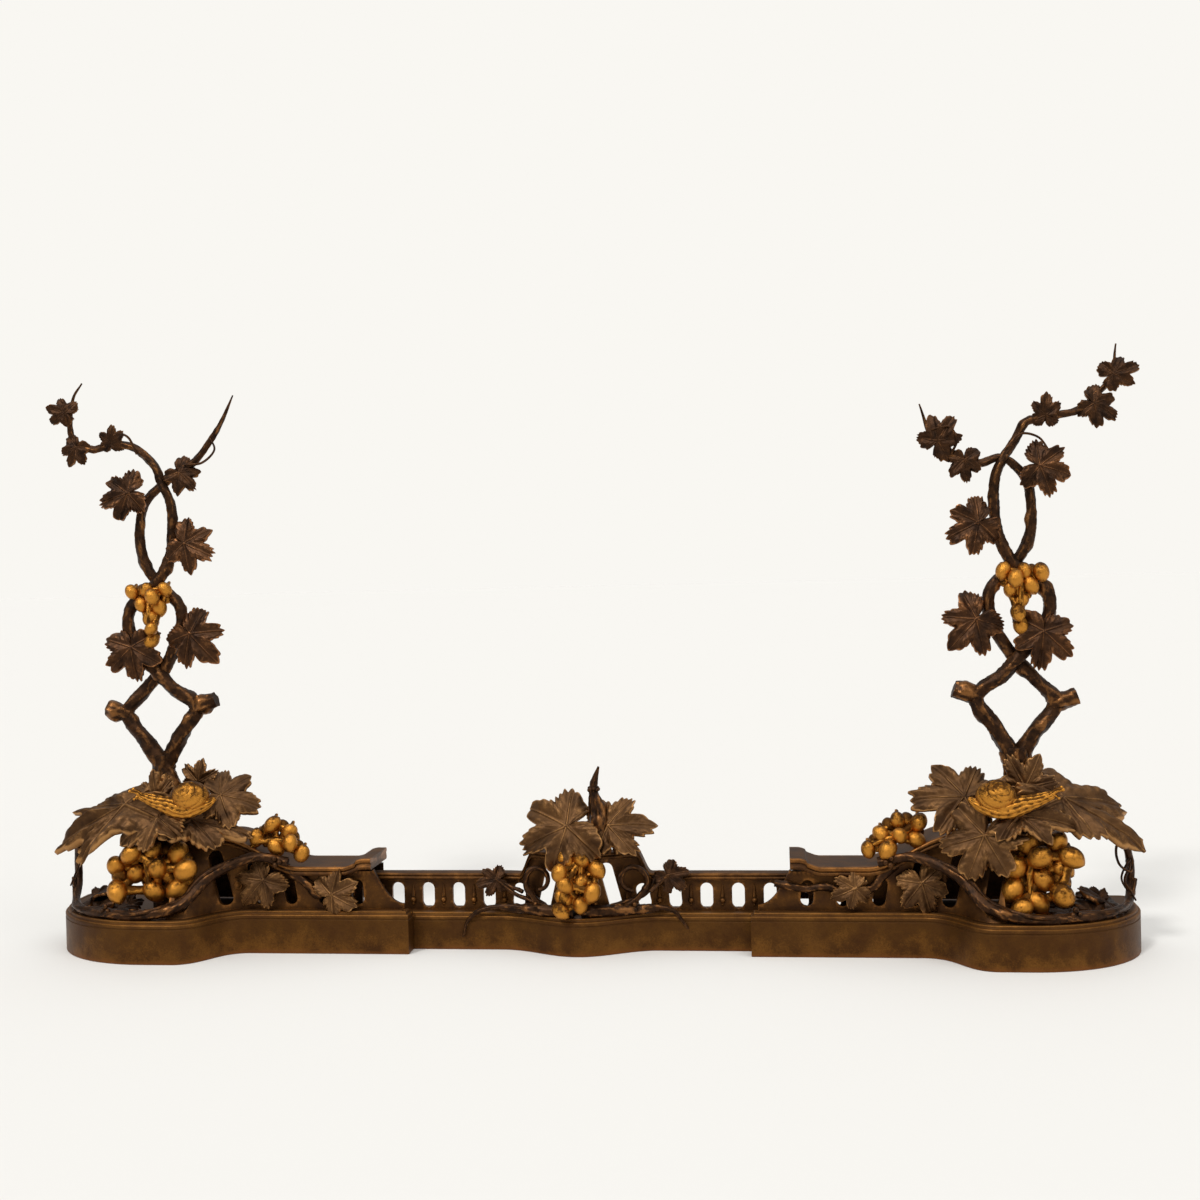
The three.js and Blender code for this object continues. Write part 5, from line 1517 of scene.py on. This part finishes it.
    def ground(self) -> Skin:
        """The rough ground with its crumpled leaves."""
        skins = [self.tray()]
        for i, (hub, tip, face) in enumerate(GROUND_LEAVES):
            ends = [(x, self.edge_y(x, 0) + back, self.plinth_height + up) for x, back, up in (hub, tip)]
            skins.append(Leaf(*ends, face, rows=16, columns=110, thickness=2, seed=self.seed + 70 + i).skin())
        return Skin.joined(skins)

    def painted_shade_sheet(self) -> Skin:
        """A plain dark sheet behind the wall, under the back of the rail: painted shade that darkens the
        slots.
        """
        x = np.linspace(self.rail_inner + 3, self.trunk_reach + 16, 70)
        outline = strip(x, self.plinth_height + 1, self.underside(x) + 3)
        back = self.rail_depth - self.rail_front - 5.5
        return pierced_plate(outline, [], lambda x, _: np.full_like(x, back), 1.5, 20)

    def boss(self) -> Skin:
        """A round boss on the wall, between its fourth and fifth slots."""
        z = self.plinth_height + self.boss_height
        profile = [(0.1, 1.5), (5.6, 1.5), (5.6, -0.8), (4.6, -1.8), (3.4, -1.8), (2.7, -0.9), (0.1, -0.5)]
        return lathe(profile, (self.boss_reach, self.frieze_front(self.boss_reach, z), z), 28, (1, 2, 0))

    def trellis(self) -> Skin:
        """Trunk, two crossing stems that run out into twigs, cut stubs and small leaves."""
        foot, seed = self.foot, self.seed
        trunk = [[0, 0, -2], [0, 0, 26], [0, 0, 60], [0, 0, 92]]
        radii = [10, 8, 7.4, 7, 6.6, 6.2, 5.4, 4.8, 4.2, 3.4, 0.8]
        stems = (INNER_STEM + self.growth.inner_twig, OUTER_STEM + self.growth.outer_twig)
        skins = [tube(foot + trunk, [18, 13.5, 13, 11.5], TRUNK, 30, 2, seed)]
        skins += [tube(foot + stem, radii, VINE, 18, 2.2, seed + 1 + i) for i, stem in enumerate(stems)]
        for i, stub in enumerate(STUBS):
            skins.append(tube(foot + stub, [7.2, 7.6, 8.2], TRUNK, 18, 1.6, seed + 4 + i))
        small = {"breadth": 0.9, "rows": 16, "columns": 110, "thickness": 2.0}
        for i, leaf in enumerate(self.growth.twig_leaves):
            skins.append(leaf.moved(foot, seed + 10 + i, **small).skin())
        return Skin.joined(skins)

    def side_growth(self) -> None:
        """The vine along the wall and its two leaves."""
        y = -self.front_step + self.ledge - 4
        route = [[x, y, z] for x, z in self.growth.side_vine]
        vine = tube(route, [4.8, 4.6, 4.2, 3.6], VINE, 16, 1.6, self.seed + 5)
        self.dress("side_vine", vine, Finish.STEM)
        names = ("side_leaf_large", "side_leaf_small")
        for i, (name, (hub, tip)) in enumerate(zip(names, self.growth.side_leaves)):
            root = (hub[0] + 0.3 * (route[0][0] - hub[0]), y, hub[1] + 6)
            ends = ((hub[0], y - 9, hub[1]), (tip[0], y - 12, tip[1]))
            leaf = Leaf(*ends, (0, -1, 0.1), root=root, seed=self.seed + 60 + i)
            self.dress(name, leaf.skin(), Finish.LEAF)

    def grapes(self) -> None:
        """The large bunch under the leaves and the small one on the rail."""
        foot, growth, seed = self.foot, self.growth, self.seed
        ground = np.array([self.trunk_reach, -self.trunk_forward, self.plinth_height])
        front = ground + [0, -26, 0]
        large = Bunch(front, growth.large, 12, 0.18, ground + LARGE_STALK, seed + 3)
        small = Bunch(foot, growth.small, 9.5, 0.2, foot + SMALL_STALK, seed + 4)
        self.dress("grapes_large", large.skin(), Finish.GILT)
        self.dress("grapes_small", small.skin(), Finish.GILT)

    def build(self) -> None:
        """Make every piece of the end section."""
        foot, growth, seed = self.foot, self.growth, self.seed
        self.dress("plinth", plinth_skin(self.plan(), self.plinth_height), Finish.PLINTH, 30)
        self.dress("rail", self.rail(), Finish.RAIL, 40)
        soften(self.dress("frieze", self.frieze(), Finish.RAIL, 30), 0.7)
        self.dress("trellis", self.trellis(), Finish.STEM)
        for i, (name, leaf) in enumerate(TRELLIS_LEAVES.items()):
            self.dress(name, leaf.moved(foot, seed + 30 + i).skin(), Finish.TRELLIS_LEAF)
        top = foot + [3, -10, 284]
        bunch = Bunch(top, TRELLIS_GRAPES, 8.5, 0, top + TRELLIS_STALK, seed + 2)
        self.dress("trellis_grapes", bunch.skin(), Finish.GILT)
        self.dress("snail", Snail(foot + growth.snail).skin(), Finish.GILT)
        for i, (name, leaf) in enumerate(growth.canopy.items()):
            self.dress(name, leaf.moved(foot, seed + 40 + i, rows=40, columns=280).skin(), Finish.LEAF)
        for i, leaf in enumerate(growth.extra_leaf):
            self.add("leaf_trunk", leaf.moved(foot, seed + 48 + i).skin(), Finish.LEAF)
        self.dress("vine_rim", self.rim(), Finish.STEM)
        self.add("ground_relief", self.ground(), Finish.STEM)
        # A dark sheet behind the wall, as painted shade seen through the slots.
        self.add("painted_shade_sheet", self.painted_shade_sheet(), Finish.STEM)
        self.add("wall_boss", self.boss(), Finish.RAIL)
        tendrils = [tube(foot + route, [1.5, 1.3, 1.0], SMOOTH, 10, 1.5) for route in growth.tendrils]
        self.add("tendrils", Skin.joined(tendrils), Finish.STEM)
        self.grapes()
        self.side_growth()


# ------------------------------------------------------------------ studio


@dataclass(frozen=True)
class Studio:
    """Pale floor, soft lights and the camera at the photograph's height and turn."""

    eye: tuple = (0.226, -1.6415, 0.418)
    yaw: float = 0.1186
    pitch: float = 0.018
    roll: float = -0.0229
    lens: float = 45.0
    sensor: float = 36.0
    clip_end: float = 50.0
    paper: str = "#f9f7f2"
    floor_half: float = 80.0
    sky_low: float = 0.18
    sky_high: float = 0.9
    # Name, way towards the light, angle across it in degrees, and power.
    suns: tuple = (
        ("overhead", (0.1, -0.45, 1), 50, 0.8),
        ("key", (-0.5, -0.9, 0.9), 9, 1.3),
        ("fill", (0.9, -0.7, 0.45), 30, 0.4),
    )

    def camera(self) -> None:
        """Put the camera at the eye, turned left by yaw, down by pitch, and rolled."""
        yaw, pitch, roll = self.yaw, self.pitch, self.roll
        ahead = Vector((-np.sin(yaw) * np.cos(pitch), np.cos(yaw) * np.cos(pitch), -np.sin(pitch)))
        right = Vector((np.cos(yaw), np.sin(yaw), 0))
        up = right.cross(ahead)
        rolled_right = right * np.cos(roll) + up * np.sin(roll)
        rolled_up = up * np.cos(roll) - right * np.sin(roll)
        turn = Matrix((rolled_right, rolled_up, -ahead)).transposed().to_4x4()
        turn.translation = Vector(self.eye)
        data = bpy.data.cameras.new("camera")
        data.lens = self.lens
        data.sensor_width = self.sensor
        data.clip_end = self.clip_end
        bpy.context.scene.camera = put("camera", data, turn)

    def floor_light(self) -> float:
        """How bright a white floor is: the suns by their height, and a sky brighter overhead."""
        suns = sum(power * unit(np.array(place, float))[2] / np.pi for _, place, _, power in self.suns)
        return suns + self.sky_low + 2 / 3 * (self.sky_high - self.sky_low)

    def floor(self) -> None:
        """A wide flat sheet of matt paper, as bright in the picture as the paper's colour."""
        paper = bpy.data.materials.new("matt paper")
        tree = empty_tree(paper)
        albedo = (*[part / self.floor_light() for part in linear(self.paper)[:3]], 1.0)
        shader = add_node(tree, "BsdfDiffuse", {"Color": albedo})
        add_node(tree, "OutputMaterial", {"Surface": shader.outputs[0]})
        half = self.floor_half
        mesh = bpy.data.meshes.new("paper_floor")
        corners = [(-half, -half, 0), (half, -half, 0), (half, half, 0), (-half, half, 0)]
        mesh.from_pydata(corners, [], [(0, 1, 2, 3)])
        mesh.materials.append(paper)
        put("paper_floor", mesh)

    def lights(self) -> None:
        """Wide soft suns, which light the floor evenly."""
        for name, place, angle, power in self.suns:
            data = bpy.data.lights.new(name, "SUN")
            data.energy = power
            data.angle = np.radians(angle)
            put(name, data, Vector(place).to_track_quat("Z", "Y").to_matrix().to_4x4())

    def sky(self) -> None:
        """A sky that is brighter overhead, and plain paper where the camera sees it."""
        world = bpy.data.worlds.new("studio")
        tree = empty_tree(world)
        way = add_node(tree, "TexCoord").outputs["Generated"]
        up = add_node(tree, "SeparateXYZ", {0: way}).outputs["Z"]
        strength = add_node(tree, "MapRange", {0: up, 3: self.sky_low, 4: self.sky_high}).outputs[0]
        lit = add_node(tree, "Background", {0: linear("#ffffff"), 1: strength}).outputs[0]
        seen = add_node(tree, "Background", {0: linear(self.paper), 1: 1.0}).outputs[0]
        by_camera = add_node(tree, "LightPath").outputs["Is Camera Ray"]
        either = add_node(tree, "MixShader", {0: by_camera, 1: lit, 2: seen}).outputs[0]
        add_node(tree, "OutputWorld", {"Surface": either})
        bpy.context.scene.world = world

    def build(self) -> None:
        """Camera, floor, lights, sky and plain picture colours."""
        self.camera()
        self.floor()
        self.lights()
        self.sky()
        bpy.context.scene.view_settings.view_transform = "Standard"


def finish_hidden() -> None:
    """Give the hidden iron and bronze pieces, whose CAD shapes stay, their finishes."""
    for name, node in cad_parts.items():
        if not node.hide_render:
            finish = Finish.RAIL if "pedestal" in name else Finish.IRON
            node.data.materials.clear()
            node.data.materials.append(finish.material)


def main() -> None:
    """Build the studio and the three sections."""
    logging.basicConfig(level=logging.INFO, format="%(name)s: %(message)s")
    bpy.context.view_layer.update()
    low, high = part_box("right_plinth")
    shift = high.y / MM - VineEnd.back_edge
    Studio().build()
    CentreBar("centre_bar", "centre_", depth_shift=shift).build()
    VineEnd("left_end", "left_", low.x / MM, -1, shift, LEFT, 100).build()
    VineEnd("right_end", "right_", low.x / MM, 1, shift, RIGHT, 200).build()
    finish_hidden()
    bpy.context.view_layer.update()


if __name__ == "__main__":
    main()
